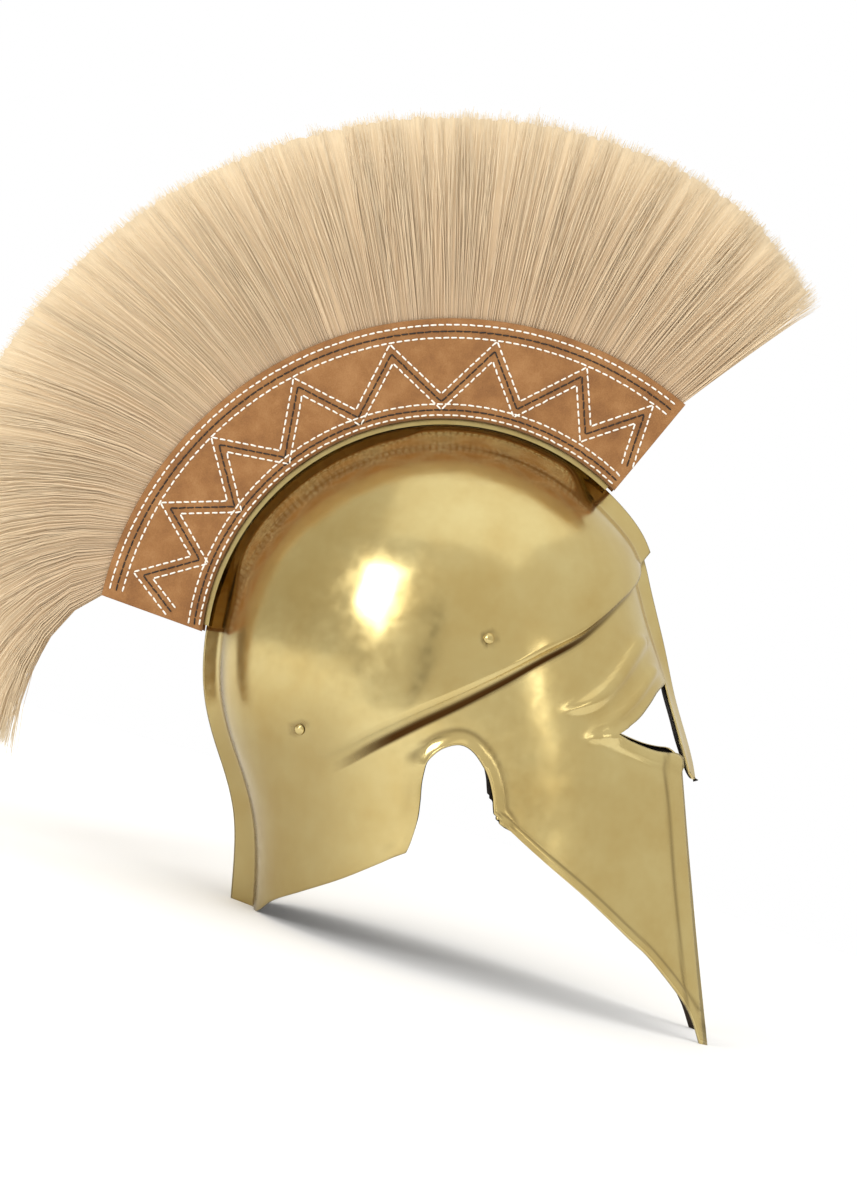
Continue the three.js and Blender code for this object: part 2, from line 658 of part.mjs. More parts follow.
// The brush: locks side by side, fused at the root, spreading towards their ragged tips.
function plume() {
  const rings = steps(2 * LOCKS.count, 0.006, 0.994).map((along, k) => {
    const crown = k % 2;
    const swing = 0.5 * Math.sin(Math.floor(k / 2) * 2.4);
    return plumeRing(along, crown, LOCKS.ragged * (crown - 0.5 + swing));
  });
  const sheet = sweep(rings);
  const size = rings[0].length;
  const peak = (size - 1) / 2;
  for (const [ring, first] of [[rings[0], true], [rings[rings.length - 1], false]]) {
    const faces = [[ring[peak - 1], ring[peak], ring[peak + 1]]];
    for (let k = 0; k < peak - 1; k += 1) {
      faces.push([ring[k], ring[k + 1], ring[size - 2 - k], ring[size - 1 - k]]);
    }
    for (const face of faces) sheet.face(first ? face.reverse() : face);
  }
  return geometry(sheet.points, sheet.triangles());
}

// ---------------------------------------------------------------- the assembled object

const BRASS = new THREE.MeshStandardMaterial({ color: '#c9ad6a', roughness: 0.12, metalness: 1 });
const SUEDE = new THREE.MeshStandardMaterial({ color: '#b98550', roughness: 0.95, metalness: 0 });
const WOOD = new THREE.MeshStandardMaterial({ color: '#8a6a48', roughness: 0.8, metalness: 0 });
const HORSEHAIR = new THREE.MeshStandardMaterial({ color: '#c9b493', roughness: 0.7, metalness: 0 });

const helmet = new THREE.Group();

function add(name, body, material) {
  const mesh = new THREE.Mesh(body, material);
  mesh.name = name;
  helmet.add(mesh);
}

add('helmet_shell', helmetShell(), BRASS);
for (const side of ['right', 'left']) {
  for (const [name, place] of Object.entries(RIVETS)) add(`rivet_${side}_${name}`, rivet(place, side), BRASS);
}

const coreTop = (along) => crestHeight(along) - CORE.inset;
const insideWidth = HOLDER.halfWidth - HOLDER.leather - GAP;
const { radius: innerRadius, rear: innerRear, front: innerFront } = HOLDER.inner;
const innerLength = innerRadius * THREE.MathUtils.degToRad(innerRear - innerFront);
// Shares of the crest's length taken by an end strip, and by the strip with the gap beside it.
const strip = END_STRIP / innerLength;
const stripAndGap = (END_STRIP + GAP) / innerLength;
const { segments } = HOLDER;
add('crest_rail', crestRail(2 * strip, 1 - 2 * strip), BRASS);
add('crest_core', crestBar(insideWidth, CORE.lower, coreTop, stripAndGap, 1 - stripAndGap, segments), WOOD);
add('crest_end_rear', crestBar(insideWidth, CORE.lower, coreTop, 0, strip, 1), SUEDE);
add('crest_end_front', crestBar(insideWidth, CORE.lower, coreTop, 1 - strip, 1, 1), SUEDE);
add('crest_panel_right', crestPanel(1), SUEDE);
add('crest_panel_left', crestPanel(-1), SUEDE);
add('plume', plume(), HORSEHAIR);

// Tip the worn helmet back until its rests are level, and stand it on the middle of its base.
const tipped = Math.atan2(REST_REAR.up - REST_FRONT.up, REST_FRONT.forward - REST_REAR.forward);
helmet.rotation.x = -tipped;
const box = new THREE.Box3().setFromObject(helmet, true);
const centre = box.getCenter(new THREE.Vector3());
helmet.position.set(-centre.x, -centre.y, -box.min.z);

const object = new THREE.Group();
object.add(helmet);

export default object;
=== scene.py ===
# Corinthian helmet of polished brass: its shell, the suede crest holder with its embroidery, and the
# horsehair plume. Lengths are in millimetres, worn: right, forward and up. They become metres in the
# frame at the end.

import math

import bpy
import numpy as np
from mathutils import Matrix, Vector


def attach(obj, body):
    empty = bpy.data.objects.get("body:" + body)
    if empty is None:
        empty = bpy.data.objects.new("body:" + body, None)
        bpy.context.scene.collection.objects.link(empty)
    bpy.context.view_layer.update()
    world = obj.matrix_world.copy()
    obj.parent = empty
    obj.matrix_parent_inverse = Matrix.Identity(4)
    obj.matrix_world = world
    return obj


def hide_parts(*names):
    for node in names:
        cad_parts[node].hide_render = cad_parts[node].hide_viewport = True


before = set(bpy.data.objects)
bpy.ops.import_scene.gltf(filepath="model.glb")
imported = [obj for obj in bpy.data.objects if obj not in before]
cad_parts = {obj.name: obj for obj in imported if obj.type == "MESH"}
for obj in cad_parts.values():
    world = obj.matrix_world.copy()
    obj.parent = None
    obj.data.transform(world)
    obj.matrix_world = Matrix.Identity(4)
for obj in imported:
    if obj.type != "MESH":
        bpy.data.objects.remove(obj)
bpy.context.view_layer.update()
rng = np.random.default_rng(7)
bpy.ops.object.select_all(action="DESELECT")

MM = 0.001  # a millimetre in metres

# ---------------- the worn helmet in the frame

REST_REAR = (-102.7, -141.9)  # forward and up of the points it rests on
REST_FRONT = (156, -218.6)
TIPPED = math.atan2(REST_REAR[1] - REST_FRONT[1], REST_FRONT[0] - REST_REAR[0])

# The plane it rests on is the floor, and the middle of the CAD model's length is the frame's middle.
SHIFT_Y = -46.97
SHIFT_Z = REST_REAR[0] * -math.sin(TIPPED) - REST_REAR[1] * math.cos(TIPPED)


def in_frame(points):
    """Worn millimetres to metres in the frame."""
    right, forward, up = np.moveaxis(np.asarray(points, float), -1, 0)
    y = -forward * math.cos(TIPPED) + up * math.sin(TIPPED)
    z = forward * math.sin(TIPPED) + up * math.cos(TIPPED)
    return np.stack([-right, y + SHIFT_Y, z + SHIFT_Z], axis=-1) * MM


def new_object(name, data):
    item = bpy.data.objects.new(name, data)
    bpy.context.collection.objects.link(item)
    return item


# ---------------- camera

TARGET = Vector(in_frame([0, -1.2, 34.8]))
DISTANCE = 1.8
VIEW_HEIGHT = 0.696  # height of what it sees at the target

# It looks straight at the helmet's right side and is tipped with it.
toward_camera = Vector((-1, 0, 0))
worn_up = Vector((0, math.sin(TIPPED), math.cos(TIPPED)))
camera = new_object("camera", bpy.data.cameras.new("camera"))
camera.data.lens = camera.data.sensor_width * DISTANCE / VIEW_HEIGHT
across = worn_up.cross(toward_camera).normalized()
axes = Matrix((across, toward_camera.cross(across), toward_camera)).transposed()
camera.matrix_world = Matrix.Translation(TARGET + toward_camera * DISTANCE) @ axes.to_4x4()
bpy.context.scene.camera = camera

# ---------------- curves and tables

CURVE_STEPS = 60  # points on each stretch of a smooth curve


def smooth(start, end, value):
    """0 up to the start, 1 from the end on, and a smooth rise between them."""
    t = np.clip((value - start) / (end - start), 0, 1)
    return t * t * (3 - 2 * t)


def bell(distance, centre, width):
    """1 at the centre, and falling off smoothly on either side."""
    return np.exp(-(((distance - centre) / width) ** 2))


def unit(vectors):
    return vectors / np.linalg.norm(vectors, axis=-1, keepdims=True)


def on_circle(centre, degrees, radius):
    """Points of a circle seen from the side, at angles above forward."""
    angle = np.radians(degrees)
    return np.stack([centre[0] + radius * np.cos(angle), centre[1] + radius * np.sin(angle)], axis=-1)


def through(points, x):
    """Smooth curve through [x, y] points whose x rises."""
    xs, ys = np.array(points, float).T
    slopes = np.empty(len(xs))
    slopes[1:-1] = (ys[2:] - ys[:-2]) / (xs[2:] - xs[:-2])
    slopes[0] = (ys[1] - ys[0]) / (xs[1] - xs[0])
    slopes[-1] = (ys[-1] - ys[-2]) / (xs[-1] - xs[-2])
    k = np.clip(np.searchsorted(xs, x, side="right") - 1, 0, len(xs) - 2)
    span = xs[k + 1] - xs[k]
    t = (x - xs[k]) / span
    rise = 3 * t**2 - 2 * t**3
    value = ys[k] + (ys[k + 1] - ys[k]) * rise
    return value + (t * (1 - t) ** 2 * slopes[k] + t * t * (t - 1) * slopes[k + 1]) * span


def spaced_line(corners, count):
    """`count` + 1 points evenly spaced along the straight lines between the corners."""
    corners = np.asarray(corners, float)
    run = np.concatenate([[0], np.cumsum(np.linalg.norm(np.diff(corners, axis=0), axis=1))])
    at = np.linspace(0, run[-1], count + 1)
    return np.stack([np.interp(at, run, corners[:, i]) for i in range(corners.shape[1])], axis=1)


def spaced(points, count):
    """`count` + 1 points evenly spaced along a smooth curve through the points."""
    p = np.array(points, float)
    p = np.vstack([p[:1], p, p[-1:]])
    t = np.linspace(0, 1, CURVE_STEPS)[:, None]
    pieces = []
    for a, b, c, d in zip(p, p[1:], p[2:], p[3:]):
        v0, v1 = (c - a) / 2, (d - b) / 2
        cubic, square = 2 * b - 2 * c + v0 + v1, -3 * b + 3 * c - 2 * v0 - v1
        pieces.append(cubic * t**3 + square * t**2 + v0 * t + b)
    return spaced_line(np.vstack([piece[:-1] for piece in pieces] + [p[-1:]]), count)


# ---------------- surface of the shell

WALL = 1.5
FILED = 0.8  # rims nearer than this to the resting plane are filed flat on it
SIDES = {1: "right", -1: "left"}  # sign of the worn right
CREST_CENTRE = (6.6, 0)  # forward and up of the centre of the crest's inner arc

# The ridge along the middle and the groove beside it at the rear. Each changes over `turn`, shares of
# the way from nose to nape.
RIDGE = dict(half_width=10, power=1.5, turn=(0.3, 0.7))
GROOVE = dict(depth=1.2, offset=14, width=4.5, turn=(0.75, 0.9))
# Below the crest the ridge has shoulders that widen it: half widths of their top and foot, their share
# of the ridge's height, and the angles above forward over which they begin.
SHOULDERS = dict(flat=8, foot=30, share=0.8, front=(46, 58), rear=(148, 168))

# Level sections from the crown down: up, widest, rear, front, side, rear ridge, front ridge.
LEVELS = np.array([
    [130, 6.6, 0, 0, 0, 9, 9],
    [126.5, 6.6, 28, 28, 22, 9, 9],
    [117, 6.6, 55, 55, 43, 9, 9],
    [101, 6.6, 81, 80, 63, 9, 9.5],
    [80, 6.6, 102, 97.5, 79, 9, 9.5],
    [60, 6, 114, 110.5, 88, 9, 7.5],
    [41, 5, 121, 115.5, 93, 9, 7],
    [21, 4, 125.5, 121.5, 96, 8.5, 7],
    [0, 3, 127, 129.5, 97, 8.5, 5],
    [-21, 2, 125.5, 136.9, 96.5, 8.5, 2.3],
    [-42, 1, 119.5, 144.2, 95, 8.5, 2.3],
    [-63, 0, 110.5, 151.2, 93.5, 9, 2.3],
    [-85, 0, 104, 152, 92, 10, 3],
    [-108, 0, 102, 153.5, 90.5, 11.5, 3],
    [-132, 0, 103, 157.5, 89, 12.5, 3],
    [-158, 0, 105, 161.5, 87, 12.5, 3],
    [-190, 0, 106, 166, 85, 12.5, 3],
    [-225, 0, 106, 170, 83, 12.5, 3],
    [-262, 0, 106, 173, 81, 12.5, 3],
    [-300, 0, 106, 176, 79, 12.5, 3],
], float)
OVER_CROWN = LEVELS[1] * [1, 1, -1, -1, -1, 1, 1]

# Free edges of one side, seen from the side: forward, up.
EDGES = dict(
    nape=[
        [-102.7, -141.9], [-100.7, -142.4], [-98.1, -141.4], [-90.5, -135], [-73, -128], [-50.4, -120],
        [-28, -110.5], [-14.2, -104],
    ],
    ear_rear=[[-3.2, -56], [-5.2, -65], [-6.2, -76], [-7.7, -86], [-11.8, -99], [-14.2, -104]],
    ear_top=[
        [-3.2, -56], [-0.7, -51.5], [5.4, -46.5], [13.4, -44], [19.4, -45], [24.8, -49.5], [29.8, -57.5],
    ],
    ear_front=[[29.8, -57.5], [32.3, -64], [34.2, -73], [35.2, -83], [38.7, -88]],
    cheek_bottom=[
        [38.7, -88], [61.3, -109], [87.3, -132], [111.3, -155.5], [123.5, -167.5], [141, -190],
        [148.7, -204], [152.6, -217.8],
    ],
    cheek_front=[[141.4, -55.5], [143.5, -80], [147.3, -125], [151.4, -170], [156.5, -219.1]],
    eye_lower=[
        [103.6, -40.3], [108.4, -42.8], [117.3, -47], [126.2, -50.4], [133.9, -52], [138.3, -52.6],
        [141.4, -55.5],
    ],
    eye_upper=[[103.6, -40.3], [111.7, -36.2], [118.1, -31.4], [124.5, -24], [129.6, -17.4], [135.4, -13]],
    nasal_side=[[135.4, -13], [136.9, -20], [141, -34.6], [144, -46], [148, -59], [149.9, -65]],
    nasal_tip=[[149.9, -65], [151.1, -69.3], [152.6, -71.8]],
    temple=[[29.8, -57.5], [56, -56], [81.5, -49], [103.6, -40.3]],
)
REAR_MIDDLE_UP, FRONT_MIDDLE_UP = -104, -9

# Lower edge of the dome, which overhangs the brow and the cheeks. It narrows and rises between two
# places forward, and fades between two heights.
CARINATION = dict(
    depth=4.8, lean=0.88, reach=40, rear_width=9.5, front_width=2.6, narrowing=1.6,
    narrows=(-50, 118), rises=(-70, -30), fades=(62, 112), rear_up=-80, front_up=58,
)
CARINATION_EDGE = [
    [-98, -68], [-55, -49.5], [-28, -35.6], [-5.6, -25], [16.4, -15.2], [38.4, -4.8], [61, 6.7],
    [82.7, 17.4], [93.2, 25], [104.4, 34.5], [113.3, 43],
]

# Ridges raised on the brow and round the eye: their crests, half widths and heights.
BANDS = [
    ([[70, -27], [83.6, -24], [94.2, -19], [103.7, -10], [113, 2.5], [118.4, 10]], 7, 3.2),
    ([[84.6, -38.5], [96.2, -34.5], [106.8, -28.5], [117.3, -18], [126.7, -6]], 4.5, 2.2),
    ([[83.7, -41], [94.4, -41.3], [105.5, -40.6]], 5, 1.5),
]
BAND_WIDENS, BAND_RISES = (-0.3, 0.45), (0, 0.35)  # over these shares of their length
LID = dict(width=8, height=1.5, fades=(0.7, 1))
EAR_FLARE = dict(width=7.5, height=3)
FLANGE = dict(width=9, height=1.8)
RIM = dict(width=3.4, slope=1.4, height=0.9)

RIVETS = [(31.3, 13.5), (-72.6, -37)]  # forward and up of those on one side

# Painted shade, strength 0 to 1, standing in for shade and for dark things mirrored in the brass: in the
# step under the carination, where it starts and is full at shares of the step's width, fades below it, and
# grows and weakens forward; in the rear groove; at the nape; and round each rivet.
STEP_SHADE = dict(starts=0.3, full=0.7, fades=2.2, grows=(-70, -20), weakens=(70, 118), loss=0.6)
GROOVE_SHADE = dict(strength=0.75, offset=22, width=9, down=(-35, 10))
NAPE_SHADE = dict(strength=0.34, back=(10, 70), down=(-10, 50))
RIVET_SHADE = dict(strength=0.6, radius=3.4, width=1)

BISECTIONS, DEPTH_STEPS, COURSE_STEPS = 45, 20000, 48


def level_at(depth):
    """Level section at a depth, counted in sections from the crown: a smooth blend of those near it."""
    k = np.floor(depth).astype(int)
    t = (depth - k)[..., None]
    weights = [(1 - t) ** 3, 3 * t**3 - 6 * t**2 + 4, -3 * t**3 + 3 * t**2 + 3 * t + 1, t**3]
    rows = np.vstack([OVER_CROWN, LEVELS])
    return sum(weight * rows[k + i] for i, weight in enumerate(weights)) / 6


def rearward(around):
    """Share of the way from nose to nape."""
    return (1 + np.cos(around)) / 2


def plain_point(around, depth):
    """Point of the shell before its relief, at an angle from the nape and a depth."""
    level = level_at(depth)
    up, widest, rear, front, side = np.moveaxis(level[..., :5], -1, 0)
    reach = front + (rear - front) * rearward(around)
    return np.stack([side * np.sin(around), widest - np.cos(around) * reach, up], axis=-1)


DEPTHS = np.linspace(0, len(LEVELS) - 3, DEPTH_STEPS + 1)
HEIGHTS = level_at(DEPTHS)[:, 0]


def depth_at(up):
    """Depth at which the shell is this high."""
    return np.interp(-np.asarray(up, float), -HEIGHTS, DEPTHS)


def around_at(forward, depth):
    """Angle round the shell of a point this far forward, found by halving."""
    low, high = np.zeros_like(forward), np.full_like(forward, math.pi)
    for _ in range(BISECTIONS):
        middle = (low + high) / 2
        behind = plain_point(middle, depth)[..., 1] < forward
        low, high = np.where(behind, middle, low), np.where(behind, high, middle)
    return (low + high) / 2


def place_at(points):
    """Places on the shell, as angle round it and depth, of points seen from the side."""
    forward, up = np.asarray(points, float).T
    depth = depth_at(up)
    return np.stack([around_at(forward, depth), depth], axis=1)


CARINATION_LINE = np.column_stack([
    [0, *place_at(CARINATION_EDGE)[:, 0], math.pi],
    [CARINATION["rear_up"], *(up for _, up in CARINATION_EDGE), CARINATION["front_up"]],
])


def carination_up(around):
    return through(CARINATION_LINE, around)


def carination_width(forward):
    start, end = CARINATION["narrows"]
    t = np.clip((forward - start) / (end - start), 0, 1) ** CARINATION["narrowing"]
    return CARINATION["rear_width"] + (CARINATION["front_width"] - CARINATION["rear_width"]) * t


def nearest(course, forward, up):
    """Distance from points to a course seen from the side, and the share of it where each is nearest."""
    a, d = course[:-1], np.diff(course, axis=0)
    distance = np.full(forward.shape, np.inf)
    along = np.zeros(forward.shape)
    for k in range(len(a)):
        t = np.clip(((forward - a[k, 0]) * d[k, 0] + (up - a[k, 1]) * d[k, 1]) / (d[k] @ d[k]), 0, 1)
        found = np.hypot(forward - a[k, 0] - t * d[k, 0], up - a[k, 1] - t * d[k, 1])
        closer = found < distance
        distance = np.where(closer, found, distance)
        along = np.where(closer, (k + t) / len(a), along)
    return distance, along


ear_border = EDGES["ear_rear"][::-1] + EDGES["ear_top"][1:] + EDGES["ear_front"][1:]
BAND_COURSES = [(spaced(line, COURSE_STEPS), half_width, height) for line, half_width, height in BANDS]
EAR_COURSE = spaced(ear_border, 2 * COURSE_STEPS)
FLANGE_COURSE = spaced(EDGES["cheek_front"], COURSE_STEPS)
BOTTOM_COURSE = spaced(EDGES["cheek_bottom"], COURSE_STEPS)
EYE_COURSE = spaced(EDGES["eye_lower"], COURSE_STEPS)

# Painted shade in the creases at the feet of the raised borders: border, distance from it, width,
# strength.
CREASE_SHADES = [
    (EAR_COURSE, EAR_FLARE["width"], 1.4, 0.45),
    (FLANGE_COURSE, FLANGE["width"], 1.0, 0.5),
    (BOTTOM_COURSE, RIM["width"] + RIM["slope"], 0.8, 0.5),
]


def beneath_crest(forward, up):
    """1 where the crest stands over the shell, 0 elsewhere."""
    angle = np.degrees(np.arctan2(up - CREST_CENTRE[1], forward - CREST_CENTRE[0]))
    return smooth(*SHOULDERS["front"], angle) * (1 - smooth(*SHOULDERS["rear"], angle))


def relief(around, depth, on_nasal):
    """How far the shell stands out from its plain section."""
    level = level_at(depth)
    right, forward, up = np.moveaxis(plain_point(around, depth), -1, 0)

    ridge = level[..., 6] + (level[..., 5] - level[..., 6]) * smooth(*RIDGE["turn"], rearward(around))
    narrow = np.maximum(0, 1 - right / RIDGE["half_width"]) ** RIDGE["power"]
    wide = SHOULDERS["share"] * (1 - smooth(SHOULDERS["flat"], SHOULDERS["foot"], right))
    out = ridge * (narrow + np.maximum(0, wide - narrow) * beneath_crest(forward, up))
    groove = GROOVE["depth"] * smooth(*GROOVE["turn"], rearward(around))
    out = out - groove * bell(right, GROOVE["offset"], GROOVE["width"])

    above = (up - carination_up(around)) * CARINATION["lean"]
    overhang = CARINATION["depth"] * smooth(*CARINATION["rises"], forward)
    overhang = overhang * (1 - smooth(*CARINATION["fades"], up))
    swell = 1 / (1 + (above / CARINATION["reach"]) ** 2)
    face = np.maximum(0, 1 + above / carination_width(forward)) ** 2
    out = out + overhang * np.where(above > 0, swell, face)
    if on_nasal:
        return out

    for course, half_width, height in BAND_COURSES:
        distance, along = nearest(course, forward, up)
        across = distance / (half_width * smooth(*BAND_WIDENS, along))
        out = out + height * smooth(*BAND_RISES, along) * np.maximum(0, 1 - across**2) ** 2
    lid = nearest(EYE_COURSE, forward, up)[0] / LID["width"]
    out = out + LID["height"] * (1 - smooth(*LID["fades"], lid))
    ear = nearest(EAR_COURSE, forward, up)[0] / EAR_FLARE["width"]
    out = out + EAR_FLARE["height"] * np.maximum(0, 1 - ear) ** 2
    flange = nearest(FLANGE_COURSE, forward, up)[0] / FLANGE["width"]
    rim = nearest(BOTTOM_COURSE, forward, up)[0]
    bead = RIM["height"] * (1 - smooth(RIM["width"], RIM["width"] + RIM["slope"], rim))
    return out + np.maximum(bead, FLANGE["height"] * np.maximum(0, 1 - flange))


def painted_shade(places, on_nasal):
    """How dark the painted shade makes the brass, 0 to 1."""
    around, depth = np.moveaxis(places, -1, 0)
    right, forward, up = np.moveaxis(plain_point(around, depth), -1, 0)

    # Painted shade in the step under the carination, where the brass faces down and mirrors dark things.
    below = (carination_up(around) - up) * CARINATION["lean"]
    width = carination_width(forward)
    step = smooth(STEP_SHADE["starts"] * width, STEP_SHADE["full"] * width, below)
    step = step * (1 - smooth(width, width + STEP_SHADE["fades"], below))
    weaker = STEP_SHADE["loss"] * smooth(*STEP_SHADE["weakens"], forward)
    painted_dark = step * (smooth(*STEP_SHADE["grows"], forward) * (1 - weaker))

    # Painted reflection in the rear groove, where the brass mirrors itself in a darker orange brown.
    groove = bell(right, GROOVE_SHADE["offset"], GROOVE_SHADE["width"])
    groove = groove * smooth(*GROOVE["turn"], rearward(around)) * smooth(*GROOVE_SHADE["down"], -up)
    # Painted reflection at the nape: darker, as if it mirrored darker surroundings than the white floor.
    nape = smooth(*NAPE_SHADE["back"], -forward) * smooth(*NAPE_SHADE["down"], -up)
    painted_dark = np.maximum(painted_dark, GROOVE_SHADE["strength"] * groove)
    painted_dark = np.maximum(painted_dark, NAPE_SHADE["strength"] * nape)
    if on_nasal:
        return painted_dark

    # Painted shade in a ring round each rivet's foot.
    for rivet in RIVETS:
        distance = np.hypot(forward - rivet[0], up - rivet[1])
        ring = bell(distance, RIVET_SHADE["radius"], RIVET_SHADE["width"])
        painted_dark = np.maximum(painted_dark, RIVET_SHADE["strength"] * ring)
    # Painted shade at the feet of the raised borders.
    for course, crease, width, strength in CREASE_SHADES:
        distance = nearest(course, forward, up)[0]
        painted_dark = np.maximum(painted_dark, strength * bell(distance, crease, width))
    return painted_dark


def surface_points(places, on_nasal):
    """Worn points of the shell's outer face."""
    around, depth = np.moveaxis(places, -1, 0)
    step = 0.01
    inner = np.maximum(depth, step)
    along_row = plain_point(around + step, inner) - plain_point(around - step, inner)
    down_column = plain_point(around, inner + step) - plain_point(around, inner - step)
    out = unit(np.cross(down_column, along_row))
    return plain_point(around, depth) + out * relief(around, depth, on_nasal)[..., None]


# ---------------- patches of the shell

ROWS = dict(dome=64, carination=8, brow=30, nape=30, cheek=64, nasal=26)
COLUMNS = dict(nape=48, ear=20, temple=30, upper_eye=24, lower_eye=22, nasal=16)

# How columns spread from their first place to their last: share of the columns, share of the way.
SPREADS = dict(
    from_ridge=[[0, 0], [0.11, 0.03], [0.22, 0.068], [0.33, 0.12], [0.5, 0.26], [1, 1]],
    to_ridge=[[0, 0], [0.34, 0.36], [0.67, 0.7], [1, 1]],
    along_nape=[[0, 0], [0.22, 0.068], [0.33, 0.11], [0.44, 0.15], [0.56, 0.28], [1, 1]],
)


def shares(count):
    return np.linspace(0, 1, count + 1)


def column_shares(spread, columns):
    return through(SPREADS[spread], shares(COLUMNS[columns]))


def edge_places(name, count):
    return place_at(spaced(EDGES[name], count))


def between(start, end, along):
    start, end = np.asarray(start, float), np.asarray(end, float)
    return start + (end - start) * along[:, None]


def blend(top, bottom, left, right):
    """Grid of places that blends evenly between its four borders."""
    u = np.linspace(0, 1, len(top))[None, :, None]
    v = np.linspace(0, 1, len(left))[:, None, None]
    sides = left[:, None] * (1 - u) + right[:, None] * u + top[None] * (1 - v) + bottom[None] * v
    corners = (top[0] * (1 - u) + top[-1] * u) * (1 - v) + (bottom[0] * (1 - u) + bottom[-1] * u) * v
    return sides - corners


def upper_grid(middle):
    """Grid from the crown down to a row of places, with rows along the carination's edge and foot."""
    around, depth = middle.T
    edge = carination_up(around)
    forward = plain_point(around, depth_at(edge))[:, 1]
    foot = edge - carination_width(forward) / CARINATION["lean"]
    stops = [np.zeros_like(depth), depth_at(edge), depth_at(foot), depth]
    counts = [ROWS["dome"], ROWS["carination"], ROWS["brow"]]
    rows = [np.zeros((1, len(around)))]
    for start, end, count in zip(stops, stops[1:], counts):
        rows.append(start + (end - start) * shares(count)[1:, None])
    depths = np.vstack(rows)
    return np.stack([np.broadcast_to(around, depths.shape), depths], axis=-1)


def shell_grids():
    """Grids of places that cover the right side, and whether each is the nasal."""
    rear_middle = [0, depth_at(REAR_MIDDLE_UP)]
    front_middle = [math.pi, depth_at(FRONT_MIDDLE_UP)]
    ear_top = edge_places("ear_top", COLUMNS["ear"])
    temple = edge_places("temple", COLUMNS["temple"])
    upper_eye = edge_places("eye_upper", COLUMNS["upper_eye"])
    lower_eye = edge_places("eye_lower", COLUMNS["lower_eye"])
    nape_top = between(rear_middle, ear_top[0], column_shares("from_ridge", "nape"))
    nasal_top = between(upper_eye[-1], front_middle, column_shares("to_ridge", "nasal"))
    upper = upper_grid(np.vstack([nape_top, ear_top[1:], temple[1:], upper_eye[1:], nasal_top[1:]]))

    nape_line = place_at(EDGES["nape"])
    nape_line[0, 0] = 0
    nape_around = nape_line[-1, 0] * column_shares("along_nape", "nape")
    nape_edge = np.stack([nape_around, through(nape_line, nape_around)], axis=1)
    rear_midline = between(rear_middle, nape_edge[0], shares(ROWS["nape"]))
    nape = blend(nape_top, nape_edge, rear_midline, edge_places("ear_rear", ROWS["nape"]))

    cheek_top = np.vstack([temple, lower_eye[1:]])
    cheek_front = edge_places("cheek_front", ROWS["cheek"])
    cheek_edge = np.vstack([edge_places("cheek_bottom", len(cheek_top) - 2), cheek_front[-1:]])
    cheek = blend(cheek_top, cheek_edge, edge_places("ear_front", ROWS["cheek"]), cheek_front)

    nasal_edge = edge_places("nasal_tip", COLUMNS["nasal"])
    nasal_edge[-1, 0] = math.pi
    front_midline = between(front_middle, nasal_edge[-1], shares(ROWS["nasal"]))
    nasal = blend(nasal_top, nasal_edge, edge_places("nasal_side", ROWS["nasal"]), front_midline)
    return [(upper, False), (nape, False), (cheek, False), (nasal, True)]


# ---------------- meshes

PLACES = 500  # in a millimetre: corners that round to the same one are joined


class Sheet:
    """Corners and faces of a mesh, with one number for corners in one place."""

    def __init__(self):
        self.points, self.numbers, self.faces = [], {}, []

    def corners(self, points):
        found = []
        for point in points.reshape(-1, 3):
            name = tuple(np.round(point * PLACES).astype(int))
            if name not in self.numbers:
                self.numbers[name] = len(self.points)
                self.points.append(point)
            found.append(self.numbers[name])
        return np.array(found).reshape(points.shape[:-1])

    def quads(self, points, turned):
        n = self.corners(points)
        quads = np.stack([n[:-1, :-1], n[1:, :-1], n[1:, 1:], n[:-1, 1:]], axis=-1).reshape(-1, 4)
        if turned:
            quads = quads[:, ::-1]
        for quad in quads.tolist():
            kept = [corner for k, corner in enumerate(quad) if corner != quad[(k + 1) % 4]]
            if len(kept) > 2:
                self.faces.append(kept)


def new_piece(name, points, faces, material):
    """Mesh from points in metres in the frame."""
    mesh = bpy.data.meshes.new(name)
    mesh.from_pydata(np.asarray(points).tolist(), [], faces)
    mesh.materials.append(material)
    mesh.shade_smooth()
    return new_object(name, mesh)


def corner_normals(points, faces):
    """Normals at the corners, from the faces round them."""
    normals = np.zeros_like(points)
    for size in (3, 4):
        group = np.array([face for face in faces if len(face) == size])
        p = points[group]
        area = np.cross(p[:, 2] - p[:, 0], p[:, -1] - p[:, 1])
        for k in range(size):
            np.add.at(normals, group[:, k], area)
    return unit(normals)


def mesh_quads(number):
    """Quads of a grid of corner numbers."""
    corners = [number[:-1, :-1], number[:-1, 1:], number[1:, 1:], number[1:, :-1]]
    return np.stack(corners, axis=-1).reshape(-1, 4).tolist()


# ---------------- materials


def linear(hex_colour):
    """sRGB hex to linear colour with alpha."""
    values = [int(hex_colour[k : k + 2], 16) / 255 for k in (1, 3, 5)]
    return [v / 12.92 if v <= 0.04045 else ((v + 0.055) / 1.055) ** 2.4 for v in values] + [1]


def put(tree, node, **inputs):
    """Sets a node's inputs, named or numbered as in _6, to values or sockets."""
    for key, value in inputs.items():
        socket = node.inputs[int(key[1:])] if key[1:].isdigit() else node.inputs[key.replace("_", " ")]
        if isinstance(value, bpy.types.NodeSocket):
            tree.links.new(value, socket)
        else:
            socket.default_value = value


def add(tree, kind, settings=None, **inputs):
    """Adds a node with its properties and inputs."""
    node = tree.nodes.new("ShaderNode" + kind)
    for key, value in (settings or {}).items():
        setattr(node, key, value)
    put(tree, node, **inputs)
    return node


def object_place(tree):
    return add(tree, "TexCoord").outputs["Object"]


def noise(tree, place, scale, detail, roughness=0.5):
    node = add(tree, "TexNoise", Vector=place, Scale=scale, Detail=detail, Roughness=roughness)
    return node.outputs["Fac"]


